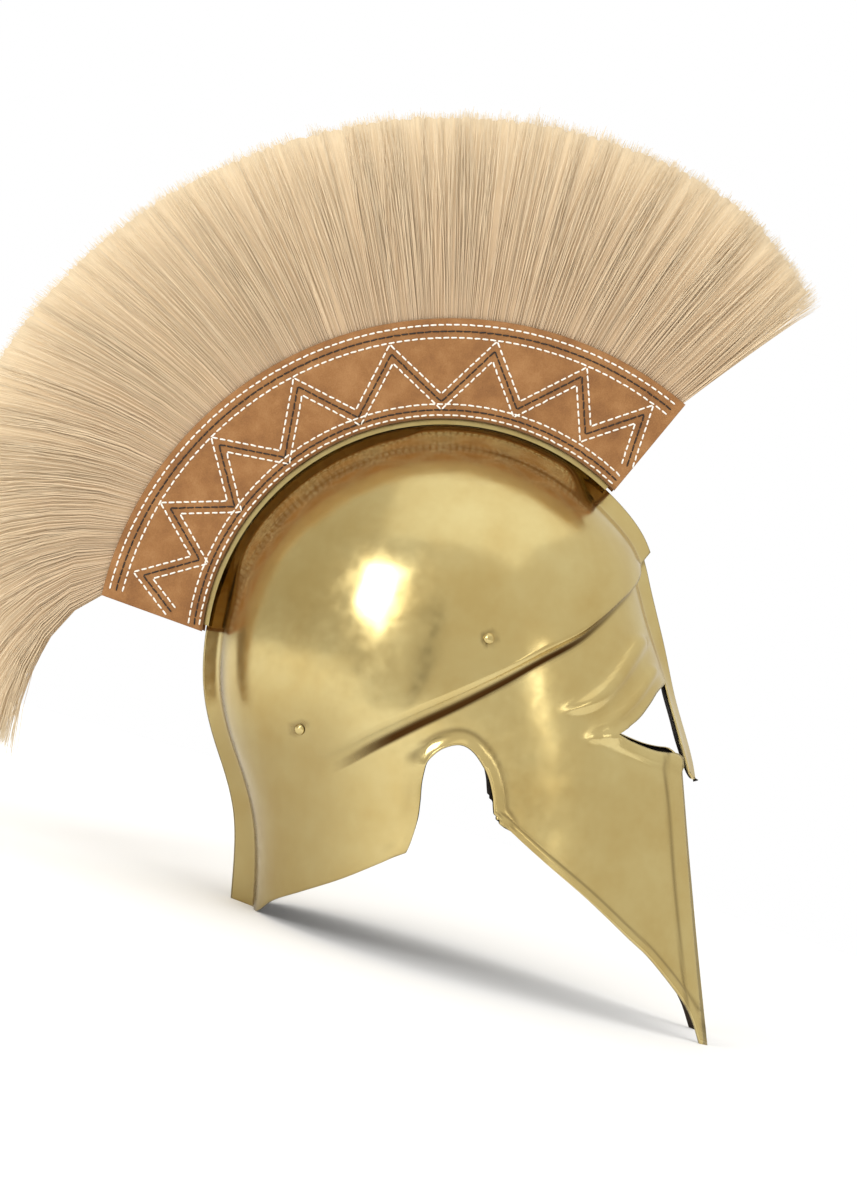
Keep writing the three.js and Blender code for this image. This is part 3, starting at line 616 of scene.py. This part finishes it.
def ramp(tree, factor, *stops):
    """Colour from stops of position and sRGB hex."""
    node = add(tree, "ValToRGB", Fac=factor)
    elements = node.color_ramp.elements
    while len(elements) < len(stops):
        elements.new(0.5)
    for element, (position, colour) in zip(elements, stops):
        element.position, element.color = position, linear(colour)
    return node.outputs["Color"]


def map_range(tree, value, start, end, low=0.0, high=1.0, **settings):
    node = add(tree, "MapRange", settings, Value=value, From_Min=start, From_Max=end)
    put(tree, node, To_Min=low, To_Max=high)
    return node.outputs["Result"]


def calculate(tree, operation, *values):
    numbered = {f"_{k}": value for k, value in enumerate(values)}
    return add(tree, "Math", dict(operation=operation), **numbered).outputs["Value"]


def mix(tree, factor, first, second):
    """The first colour where the factor is 0, the second where it is 1."""
    return add(tree, "Mix", dict(data_type="RGBA"), Factor=factor, _6=first, _7=second).outputs[2]


def scaled(tree, colour, factor):
    return add(tree, "VectorMath", dict(operation="SCALE"), _0=colour, Scale=factor).outputs["Vector"]


def bump(tree, height, strength, distance):
    return add(tree, "Bump", Height=height, Strength=strength, Distance=distance).outputs["Normal"]


def new_material(name, finish, *colours):
    """Material whose finish function gives its surface's inputs."""
    material = bpy.data.materials.new(name)
    material.use_nodes = True
    tree = material.node_tree
    put(tree, tree.nodes["Principled BSDF"], **finish(tree, *colours))
    return material


def polished_brass(tree):
    """Sheet brass, raised and buffed to a mirror: warm yellow in faint clouds, with hammer waves, a
    buffing haze, and dark brown painted shade where the shell's shade attribute says so."""
    place = object_place(tree)
    painted_dark = add(tree, "Attribute", dict(attribute_name="painted_shade")).outputs["Fac"]
    clouds = noise(tree, place, scale=22.0, detail=4.0, roughness=0.6)
    unshaded = ramp(tree, clouds, (0.3, "#c4ad72"), (0.7, "#d0bf88"))
    haze = map_range(tree, noise(tree, place, scale=160.0, detail=3.0), 0.3, 0.7, low=0.15, high=0.23)
    waves = noise(tree, place, scale=38.0, detail=1.0)
    # The dark brown mixed in is painted shade and painted reflection, strongest where the shade attribute
    # is high.
    return dict(
        Base_Color=mix(tree, painted_dark, unshaded, linear("#452c12")), Metallic=1,
        Roughness=calculate(tree, "MULTIPLY_ADD", painted_dark, 0.12, haze),
        Normal=bump(tree, waves, strength=0.12, distance=0.004),
    )


def unpolished_brass(tree):
    """The same sheet inside the helmet, left dark from the forge."""
    clouds = noise(tree, object_place(tree), scale=30.0, detail=5.0, roughness=0.65)
    return dict(
        Base_Color=ramp(tree, clouds, (0.35, "#1d1611"), (0.75, "#3a2d20")), Metallic=0.6,
        Roughness=0.62, Normal=bump(tree, clouds, strength=0.3, distance=0.001),
    )


def suede_leather(tree):
    """Tan split leather: a matte nap in soft patches."""
    place = object_place(tree)
    nap = noise(tree, place, scale=1400.0, detail=3.0, roughness=0.7)
    patches = noise(tree, place, scale=60.0, detail=4.0, roughness=0.6)
    both = calculate(tree, "MULTIPLY_ADD", nap, 0.5, patches)
    return dict(
        Base_Color=ramp(tree, both, (0.5, "#7d532e"), (0.75, "#926539"), (1.0, "#a4774a")),
        Roughness=0.95, Sheen_Weight=0.12, Sheen_Roughness=0.5,
        Normal=bump(tree, nap, strength=0.5, distance=0.0004),
    )


def thread(tree, dark, light):
    """Waxed linen thread, its strands shown by their shades."""
    strands = noise(tree, object_place(tree), scale=900.0, detail=2.0)
    return dict(Base_Color=ramp(tree, strands, (0.35, dark), (0.7, light)), Roughness=0.7)


def horsehair(tree, root, middle, tip):
    """Bleached horsehair. Its UV map gives each hair's own shade across, and root to tip upwards."""
    uv = add(tree, "UVMap", dict(uv_map=HAIR_MAP)).outputs["UV"]
    parts = add(tree, "SeparateXYZ", Vector=uv)
    # From root to tip the hair grows lighter: partly its own colour, partly painted sheen on the tips.
    along = ramp(tree, parts.outputs["Y"], (0.0, root), (0.45, middle), (1.0, tip))
    shade = map_range(tree, parts.outputs["X"], 0.0, 1.0, low=0.8, high=1.12)
    return dict(
        Base_Color=scaled(tree, along, shade), Roughness=0.5, Specular_IOR_Level=0.35, Sheen_Weight=0.2,
    )


def beech(tree):
    """Planed beech of the crest's core, with a fine grain that runs along the helmet."""
    stretched = add(tree, "Mapping", Vector=object_place(tree), Scale=(400.0, 30.0, 400.0))
    grain = noise(tree, stretched.outputs["Vector"], scale=1.0, detail=4.0)
    return dict(Base_Color=ramp(tree, grain, (0.3, "#b08a5c"), (0.7, "#cba878")), Roughness=0.75)


def white_paper(tree):
    return dict(Base_Color=linear("#fafafa"), Roughness=0.9)


HAIR_MAP = "hair"
BRASS = new_material("polished_brass", polished_brass)
INSIDE = new_material("dark_brass_inside", unpolished_brass)
SUEDE = new_material("tan_suede", suede_leather)
THREADS = dict(
    white=new_material("white_thread", thread, "#e9e3d8", "#fffdf6"),
    dark=new_material("dark_thread", thread, "#1e1510", "#3b2a1e"),
)
HAIR = new_material("horsehair", horsehair, "#d2b795", "#e0c8a5", "#f0dcba")
# A darker copy of the horsehair for the plume's inner mass: painted shade.
HAIR_SHADED = new_material("horsehair_shaded", horsehair, "#bfa482", "#cfb592", "#e4ceaa")
WOOD = new_material("beech", beech)

# ---------------- helmet shell


def helmet_shell():
    """Both sides of the shell as one wall, outer face, inner face and rims, with the painted shade marked.
    """
    sheet = Sheet()
    painted_dark_at = {}
    for places, on_nasal in shell_grids():
        right = surface_points(places, on_nasal)
        painted_dark = painted_shade(places, on_nasal).ravel().tolist()
        for side in SIDES:
            points = right * [side, 1, 1]
            sheet.quads(points, turned=side < 0)
            painted_dark_at.update(zip(sheet.corners(points).ravel().tolist(), painted_dark))
    outer = np.array(sheet.points)
    inner = outer - corner_normals(outer, sheet.faces) * WALL
    count = len(outer)
    inner_faces = [[corner + count for corner in face][::-1] for face in sheet.faces]
    edges = {(a, b) for face in sheet.faces for a, b in zip(face, face[1:] + face[:1])}
    free = [(a, b) for a, b in edges if (b, a) not in edges]
    rim = [[b, a, a + count, b + count] for a, b in free]
    points = in_frame(np.vstack([outer, inner]))
    points[points[:, 2] < FILED * math.cos(TIPPED) * MM, 2] = 0
    piece = new_piece("shell", points, sheet.faces + inner_faces + rim, BRASS)
    piece.data.materials.append(INSIDE)
    inside = np.zeros(len(piece.data.polygons), int)
    inside[len(sheet.faces) : 2 * len(sheet.faces)] = 1
    piece.data.polygons.foreach_set("material_index", inside)
    layer = piece.data.attributes.new("painted_shade", "FLOAT", "POINT")
    layer.data.foreach_set("value", [painted_dark_at[k % count] for k in range(2 * count)])
    piece.data.update()
    return piece


shell = helmet_shell()
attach(shell, "root")
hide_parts("helmet_shell")

# ---------------- crest holder

INNER_ARC = dict(centre=CREST_CENTRE, radius=139.3, rear=173.1, front=44.6)
OUTER_ARC = dict(centre=(12, -10), radius=207, rear=166.7, front=49.4)
HALF_WIDTH = 14.5
LEATHER = 2

# Suede side: steps along it, down its outer face, round its rolled edge and up its back.
PANEL = dict(along=260, face=54, roll=8, back=8)
ROLL = dict(radius=2.8, depth=3, degrees=100)
# Where the back leaves the roll: millimetres from the inner edge and from the outer face.
ROLL_TO_BACK = [(LEATHER + 0.1, 3), (LEATHER + 0.4, 2.3), (ROLL["radius"] + 0.8, LEATHER)]
BACK_STARTS = 0.15  # share of its height
SEAM_DIP = dict(depth=0.35, width=1.3, points=120)
ROUNDED = dict(depth=0.5, share=0.05)  # outer edge of the face
# The leather's waves: their height, how fast they run forward, up and bend in radians to the millimetre,
# and how steeply they begin at the outer edge.
SWELL = dict(height=0.125, forward=0.21, up=0.19, start=0.7, bend=1.3, bends=0.16, begins=6)


def on_arc(arc, along, radius=None):
    """Points of an arc of the holder at shares of the way from its rear end."""
    degrees = arc["rear"] + (arc["front"] - arc["rear"]) * along
    return on_circle(arc["centre"], degrees, arc["radius"] if radius is None else radius)


def crest_points(along, start, share, right):
    """Worn points of the holder at shares along it: so many millimetres from its inner edge, and a
    share of the height that is left from there."""
    inner = on_arc(INNER_ARC, along)
    outward = on_arc(OUTER_ARC, along) - inner
    height = np.linalg.norm(outward, axis=1, keepdims=True)
    seen = inner + outward / height * (start + (height - start) * share)
    return np.column_stack([np.full(len(along), right), seen])


# Corners of the zigzag: angle above forward and distance from the outer arc's centre.
ZIGZAG = [
    (166.8, 165.5), (161.6, 187), (154.9, 160), (148.9, 189), (141.7, 159), (134.9, 189.5), (127.1, 159),
    (117.8, 189.5), (109.7, 159), (100.5, 189.5), (92.1, 159), (82.4, 189.5), (76.3, 159), (66.6, 189),
    (61.2, 160), (53.8, 188), (50.3, 158),
]
SHARPEST = 0.35  # limits how far a sharp corner moves

ARC_ROWS = [  # arc, radius, thread
    (OUTER_ARC, 203.2, "white"), (OUTER_ARC, 199.4, "dark"), (OUTER_ARC, 195.7, "white"),
    (INNER_ARC, 147.5, "white"), (INNER_ARC, 144.2, "dark"), (INNER_ARC, 141.2, "white"),
]
ARC_INSET, ARC_POINTS = 1.2, 240  # degrees that a row stops short of the holder's ends
ZIGZAG_ROWS = [(-3.3, "white"), (0.0, "dark"), (3.3, "white")]  # how far inward, thread


def zigzag(inward):
    """Corners of the zigzag, moved inward from its middle."""
    points = np.array([on_circle(OUTER_ARC["centre"], *corner) for corner in ZIGZAG])
    normals = unit(np.diff(points, axis=0)) @ [[0, -1], [1, 0]]
    before, after = np.vstack([normals[:1], normals]), np.vstack([normals, normals[-1:]])
    aside = unit(before + after)
    slant = np.abs((aside * before).sum(axis=1, keepdims=True))
    return points + aside * inward / np.maximum(slant, SHARPEST)


def stitch_rows():
    """Rows of stitching seen from the side: course, thread, and whether it has corners."""
    rows = []
    for arc, radius, colour in ARC_ROWS:
        degrees = np.linspace(arc["rear"] - ARC_INSET, arc["front"] + ARC_INSET, ARC_POINTS)
        rows.append((on_circle(arc["centre"], degrees, radius), colour, False))
    return rows + [(zigzag(inward), colour, True) for inward, colour in ZIGZAG_ROWS]


STITCH_ROWS = stitch_rows()


def panel_section():
    """Rows down the outer face, round the rolled edge and up the back: start, share and right."""
    radius, back, foot = ROLL["radius"], HALF_WIDTH - LEATHER, ROLL_TO_BACK[-1][0]
    rows = [(radius, share, HALF_WIDTH) for share in np.linspace(1, 0, PANEL["face"])]
    for turn in np.radians(np.linspace(0, ROLL["degrees"], PANEL["roll"] + 1))[1:]:
        right = HALF_WIDTH - ROLL["depth"] * (1 - math.cos(turn))
        rows.append((radius * (1 - math.sin(turn)), 0, right))
    rows += [(out, 0, HALF_WIDTH - inset) for out, inset in ROLL_TO_BACK]
    return rows + [(foot, share, back) for share in np.linspace(BACK_STARTS, 1, PANEL["back"])]


def face_relief(forward, up):
    """How far the outer face stands out: it dips along the stitching and swells between."""
    dip = np.zeros(forward.shape)
    for course, _, cornered in STITCH_ROWS:
        points = spaced_line(course, SEAM_DIP["points"]) if cornered else course
        dip = np.maximum(dip, bell(nearest(points, forward, up)[0], 0, SEAM_DIP["width"]))
    bend = SWELL["bend"] * np.sin(up * SWELL["bends"])
    swell = SWELL["height"] * np.sin(forward * SWELL["forward"] + bend)
    swell = swell * np.sin(up * SWELL["up"] + SWELL["start"])
    from_edge = np.linspace(0, 1, PANEL["face"])[:, None]
    swell = swell * np.minimum(1, SWELL["begins"] * from_edge)
    return swell - SEAM_DIP["depth"] * dip - ROUNDED["depth"] * bell(from_edge, 0, ROUNDED["share"])


def crest_panel(side):
    """Suede side of the holder."""
    grid = np.stack([crest_points(shares(PANEL["along"]), *row) for row in panel_section()])
    outer = grid[: PANEL["face"]]
    outer[..., 0] += face_relief(outer[..., 1], outer[..., 2])
    grid[..., 0] *= side
    number = np.arange(grid[..., 0].size).reshape(grid.shape[:2])
    faces = mesh_quads(np.vstack([number, number[:1]]))
    faces += [number[::-1, 0].tolist(), number[:, -1].tolist()]
    if side > 0:
        faces = [face[::-1] for face in faces]
    return new_piece("suede_" + SIDES[side], in_frame(grid.reshape(-1, 3)), faces, SUEDE)


for side, name in SIDES.items():
    panel = crest_panel(side)
    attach(panel, "root")
    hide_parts("crest_panel_" + name)

# ---------------- stitches

PITCH = 4.5
STITCH = dict(white=(3.5, 1.0), dark=(4.2, 0.95))  # length and thickness
STITCH_NECK, STITCH_END = 0.36, 0.45  # where a stitch 1 long begins to taper, and how thin it ends
# How stitches are laid: how much they turn and vary in length, how deep they sink and how they arch.
LAID = dict(turn=0.05, lengths=(0.94, 1.05), sunk=0.28, arch=0.25)


def stitch_form():
    """One stitch, 1 long, 1 wide and 1 thick, lying along x, tapered at its ends."""
    lying = (0, math.pi / 2, 0)
    bpy.ops.mesh.primitive_cylinder_add(vertices=8, radius=0.5, depth=1, rotation=lying)
    form = bpy.context.object
    bpy.ops.object.transform_apply(location=False, rotation=True, scale=True)
    bpy.ops.object.mode_set(mode="EDIT")
    for neck in (STITCH_NECK, -STITCH_NECK):
        bpy.ops.mesh.select_all(action="SELECT")
        bpy.ops.mesh.bisect(plane_co=(neck, 0, 0), plane_no=(1, 0, 0))
    bpy.ops.object.mode_set(mode="OBJECT")
    points = np.array([v.co[:] for v in form.data.vertices])
    faces = [list(p.vertices) for p in form.data.polygons]
    at_end = np.abs(points[:, :1]) > (STITCH_NECK + 0.5) / 2
    points[:, 1:] *= np.where(at_end, STITCH_END, 1)
    bpy.data.objects.remove(form, do_unlink=True)
    return points, faces


def stitches(colour, side):
    """All stitches of one thread on one side."""
    long, thick = STITCH[colour]
    form, form_faces = stitch_form()
    x, y, z = form.T
    points, faces = [], []
    for course, row_colour, cornered in STITCH_ROWS:
        if row_colour != colour:
            continue
        segments = [course[k : k + 2] for k in range(len(course) - 1)] if cornered else [course]
        for segment in segments:
            length = np.linalg.norm(np.diff(segment, axis=0), axis=1).sum()
            count = max(1, round(length / PITCH))
            line = spaced_line(segment, 2 * count)
            for k in range(count):
                heading = line[2 * k + 2] - line[2 * k]
                heading /= np.linalg.norm(heading)
                turn = rng.normal(0, LAID["turn"])
                heading = heading @ [[math.cos(turn), math.sin(turn)], [-math.sin(turn), math.cos(turn)]]
                aside = np.array([-heading[1], heading[0]])
                own = length / count * long / PITCH * rng.uniform(*LAID["lengths"])
                seen = line[2 * k + 1] + np.outer(x * own, heading) + np.outer(y * thick, aside)
                lift = HALF_WIDTH - LAID["sunk"] + z * thick + LAID["arch"] * (1 - (2 * x) ** 2)
                faces += [[corner + len(points) * len(form) for corner in face] for face in form_faces]
                points.append(np.column_stack([side * lift, seen]))
    if side < 0:
        faces = [face[::-1] for face in faces]
    name = "stitches_" + colour + "_" + SIDES[side]
    return new_piece(name, in_frame(np.vstack(points)), faces, THREADS[colour])


for side in SIDES:
    for colour in STITCH:
        seam = stitches(colour, side)
        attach(seam, "root")

# ---------------- plume

# Share of the way from the holder's rear end, the hair's first and last heading there in degrees above
# forward, its length, and the plume's half width at the tips.
PLUME = np.array([
    [0, 200, 258, 112, 17],
    [0.05, 181, 224, 117, 21],
    [0.1, 168, 200, 118, 23],
    [0.2, 150, 169, 118, 25],
    [0.35, 129, 138, 119, 26],
    [0.5, 108.5, 113, 119, 26],
    [0.65, 89, 90, 119, 26],
    [0.8, 69, 66, 118, 26],
    [0.9, 54, 50, 114, 25],
    [1, 37, 40, 98, 20],
])
ROOT_DEPTH = 3.7  # roots sit this far below the holder's outer edge
ROOT_HALF_WIDTH = 12
WIDENS = 0.8  # power by which the plume widens from root to tip

# Locks, bunches that hang together along the crest: how they bend, and how unlike they are.
LOCK = dict(count=110, bend=0.4, bends=5, length=1.5, lean=0.0045, shade=0.22)
# Single hairs: where they stand along and across, their length, how they stray, lean and wander, their
# thickness at the root and what is lost of it at the tip, and how unlike their shades are.
STRAND = dict(
    count=4100, segments=5, along=(0.004, 0.996), outward=0.75, shorter=1.5, uneven=1.5, rounded=4,
    stray=0.003, leans=1.5, wander=0.8, wanders=1.3, waves=5, starts=6, thick=(0.24, 0.37), loss=0.72,
    tapers=1.6, shade=0.17,
)
STRAND_SIDES = (90, 210, 330)
# Inner mass of hair: how much shorter and how uneven it is, how far it stays inside the hairs at root
# and tip, and the depth of the flutes between its locks.
MASS = dict(
    steps=420, segments=12, along=(0.01, 0.99), locks=105, shorter=5.5, uneven=0.5, root=0.8, tip=4,
    fluting=0.9, shades=(0.35, 0.65),
)


def hair_courses(along, longer, count):
    """Courses of hairs seen from the side, root to tip, and the plume's half width at their tips."""
    leaves, settles, length, spread = (through(PLUME[:, [0, k]], along) for k in (1, 2, 3, 4))
    points = [on_arc(OUTER_ARC, along, OUTER_ARC["radius"] - ROOT_DEPTH), on_arc(OUTER_ARC, along)]
    stride = (length + longer) / count
    for k in range(count):
        turned = 1 - (1 - (k + 0.5) / count) ** 2
        points.append(points[-1] + on_circle((0, 0), leaves + (settles - leaves) * turned, stride))
    return np.stack(points, axis=1), spread


def grown_at(segments):
    """Share of its free length at each point of a hair, which starts with its root."""
    return np.maximum(0, np.arange(segments + 2) - 1) / segments


def map_hair(piece, shades, grown):
    """UV map of the hair, from the shade and the share grown at each corner."""
    loops = np.empty(len(piece.data.loops), int)
    piece.data.loops.foreach_get("vertex_index", loops)
    layer = piece.data.uv_layers.new(name=HAIR_MAP)
    layer.data.foreach_set("uv", np.stack([shades[loops], grown[loops]], axis=1).ravel())


def strand_faces(shape):
    """Sides, roots and tips of strands whose corners are numbered by hair, ring and corner."""
    number = np.arange(np.prod(shape)).reshape(shape)
    beside = np.roll(number, -1, axis=2)
    corners = [number[:, :-1], beside[:, :-1], beside[:, 1:], number[:, 1:]]
    sides = np.stack(corners, axis=-1).reshape(-1, 4)
    return sides.tolist() + number[:, 0, ::-1].tolist() + number[:, -1].tolist()


def hairs(name):
    """Tapered strands, laid in locks that cross a little."""
    count, locks, segments = STRAND["count"], LOCK["count"], STRAND["segments"]
    along = rng.uniform(*STRAND["along"], count)
    across = rng.uniform(-1, 1, count)
    across = np.sign(across) * np.abs(across) ** STRAND["outward"]
    bent = along * locks + LOCK["bend"] * np.sin(across * LOCK["bends"])
    lock = np.floor(bent).astype(int) % locks
    lock_shade = rng.uniform(-1, 1, locks)[lock]
    lock_length = rng.normal(0, LOCK["length"], locks)[lock]
    lock_lean = rng.normal(0, LOCK["lean"], locks)[lock]
    longer = lock_length + rng.normal(-STRAND["shorter"], STRAND["uneven"], count)
    longer = longer - STRAND["rounded"] * np.abs(across) ** 3

    grown = grown_at(segments)
    course, spread = hair_courses(along, longer, segments)
    tips, _ = hair_courses(along + lock_lean + rng.normal(0, STRAND["stray"], count), longer, segments)
    seen = course + (tips - course) * (grown ** STRAND["leans"])[None, :, None]
    wander = rng.normal(0, STRAND["wander"], count)[:, None] * grown ** STRAND["wanders"]
    wander = wander * np.sin(grown * STRAND["waves"] + rng.uniform(0, STRAND["starts"], count)[:, None])
    width = ROOT_HALF_WIDTH + (spread[:, None] - ROOT_HALF_WIDTH) * grown**WIDENS
    centres = np.concatenate([(across[:, None] * width + wander)[..., None], seen], axis=-1)

    thick = rng.uniform(*STRAND["thick"], count)[:, None]
    thick = thick * (1 - STRAND["loss"] * grown ** STRAND["tapers"])
    heading = unit(np.gradient(centres, axis=1))
    aside = unit(np.cross(heading, [1.0, 0, 0]))
    beside = np.cross(heading, aside)
    rings = []
    for turn in np.radians(STRAND_SIDES):
        rings.append(centres + thick[..., None] * (aside * math.cos(turn) + beside * math.sin(turn)))
    rings = np.stack(rings, axis=2)
    piece = new_piece(name, in_frame(rings.reshape(-1, 3)), strand_faces(rings.shape[:3]), HAIR)
    shade = np.clip(0.5 + LOCK["shade"] * lock_shade + rng.normal(0, STRAND["shade"], count), 0, 1)
    grown = np.repeat(grown, len(STRAND_SIDES))
    map_hair(piece, np.repeat(shade, len(grown)), np.tile(grown, count))
    return piece


def plume_body():
    """Inner body of the plume: the mass of hair behind the single hairs, in fused locks, in a darker copy
    of the horsehair that paints shade inside the plume.
    """
    steps, segments = MASS["steps"], MASS["segments"]
    along = np.linspace(*MASS["along"], steps + 1)
    lock = np.abs(np.sin(along * math.pi * MASS["locks"]))
    longer = lock - MASS["shorter"] + rng.normal(0, MASS["uneven"], steps + 1)
    course, spread = hair_courses(along, longer, segments)
    grown = grown_at(segments)
    widening = (spread[:, None] - MASS["tip"] - ROOT_HALF_WIDTH) * grown**WIDENS
    fluting = MASS["fluting"] * lock[:, None] * np.minimum(1, 2 * grown)
    width = ((ROOT_HALF_WIDTH - MASS["root"]) + widening + fluting)[..., None]
    left = np.concatenate([-width, course], axis=-1)
    right = np.concatenate([width, course], axis=-1)[:, ::-1]
    grid = np.concatenate([left, right], axis=1)
    number = np.arange(grid[..., 0].size).reshape(grid.shape[:2])
    rear, front = (mesh_quads(np.stack([ring, ring[::-1]])[:, : len(grown)]) for ring in number[[0, -1]])
    faces = [face[::-1] for face in mesh_quads(np.hstack([number, number[:, :1]]))]
    faces += rear + [face[::-1] for face in front]
    piece = new_piece("plume_depth", in_frame(grid.reshape(-1, 3)), faces, HAIR_SHADED)
    shade = rng.uniform(*MASS["shades"], steps + 1)
    grown = np.concatenate([grown, grown[::-1]])
    map_hair(piece, np.repeat(shade, len(grown)), np.tile(grown, steps + 1))
    return piece


plume_pieces = [plume_body()] + [hairs(f"plume_hair_{k}") for k in range(1, 5)]
for piece in plume_pieces:
    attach(piece, "root")
    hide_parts("plume")

# ---------------- finishes of the kept nodes

FINISHES = dict(
    rivet_right_front=BRASS, rivet_right_rear=BRASS, rivet_left_front=BRASS, rivet_left_rear=BRASS,
    crest_rail=BRASS, crest_core=WOOD, crest_end_rear=SUEDE, crest_end_front=SUEDE,
)
for name, material in FINISHES.items():
    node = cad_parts[name]
    for slot in node.material_slots:
        slot.material = material

# ---------------- floor and light

LIT = Vector((0, 0, 0.25))  # the lights face this point
LIGHTS = [  # name, place, size, power
    ("key", (-1.56, 1.12, 0.77), (0.6, 0.6), 12),
    ("strip", (-1.35, -1.15, 0.5), (0.12, 0.6), 0.6),
    ("top", (-0.5, 0.1, 2.4), (2.6, 2.6), 7),
]

bpy.ops.mesh.primitive_circle_add(vertices=96, radius=1.1, fill_type="NGON", location=(0, 0, 0))
floor = bpy.context.object
floor.name = "floor"
floor.data.materials.append(new_material("white_paper", white_paper))

for name, place, size, power in LIGHTS:
    light = new_object(name, bpy.data.lights.new(name, "AREA"))
    light.data.shape = "RECTANGLE"
    light.data.size, light.data.size_y = size
    light.data.energy = power
    light.location = place
    light.rotation_euler = (LIT - light.location).to_track_quat("-Z", "Y").to_euler()

# The room that the brass mirrors: bright all round, dimmer behind the helmet, with one dark upright gap
# between the screens, which ends above. Seen directly it is white, and it lights the rest warmly.
ROOM = [
    (0.0, "#e8e4da"), (0.46, "#eeeae0"), (0.5, "#e6e1d6"), (0.6, "#ece8de"), (0.8, "#f4f1e9"),
    (1.0, "#fbf9f4"),
]
BEHIND = dict(starts=0.1, full=0.95, level=0.8)
GAP = dict(square_to=(0.17, 0.985, 0.0), inner=0.02, outer=0.06, level=0.35, ends=(0.25, 0.4))
WARM, WHITE = (1.12, 1.1, 1.06, 1), (1, 1, 1, 1)

world = bpy.data.worlds.new("studio")
bpy.context.scene.world = world
world.use_nodes = True
tree = world.node_tree
direction = add(tree, "TexCoord").outputs["Generated"]
parts = add(tree, "SeparateXYZ", Vector=direction)
room = ramp(tree, map_range(tree, parts.outputs["Z"], -1.0, 1.0), *ROOM)
behind = map_range(
    tree, parts.outputs["Y"], BEHIND["starts"], BEHIND["full"], 1.0, BEHIND["level"],
    interpolation_type="SMOOTHSTEP",
)
beside = add(tree, "VectorMath", dict(operation="DOT_PRODUCT"), _0=direction, _1=GAP["square_to"])
beside = calculate(tree, "ABSOLUTE", beside.outputs["Value"])
gap = map_range(tree, beside, GAP["inner"], GAP["outer"], GAP["level"], 1.0)
above_gap = map_range(tree, parts.outputs["Z"], *GAP["ends"])
level = calculate(tree, "MULTIPLY", behind, calculate(tree, "MAXIMUM", gap, above_gap))
sight = add(tree, "LightPath")
lighting = mix(tree, sight.outputs["Is Glossy Ray"], WARM, scaled(tree, room, level))
seen = mix(tree, sight.outputs["Is Camera Ray"], lighting, WHITE)
put(tree, tree.nodes["Background"], Color=seen)
bpy.context.scene.view_settings.view_transform = "Standard"
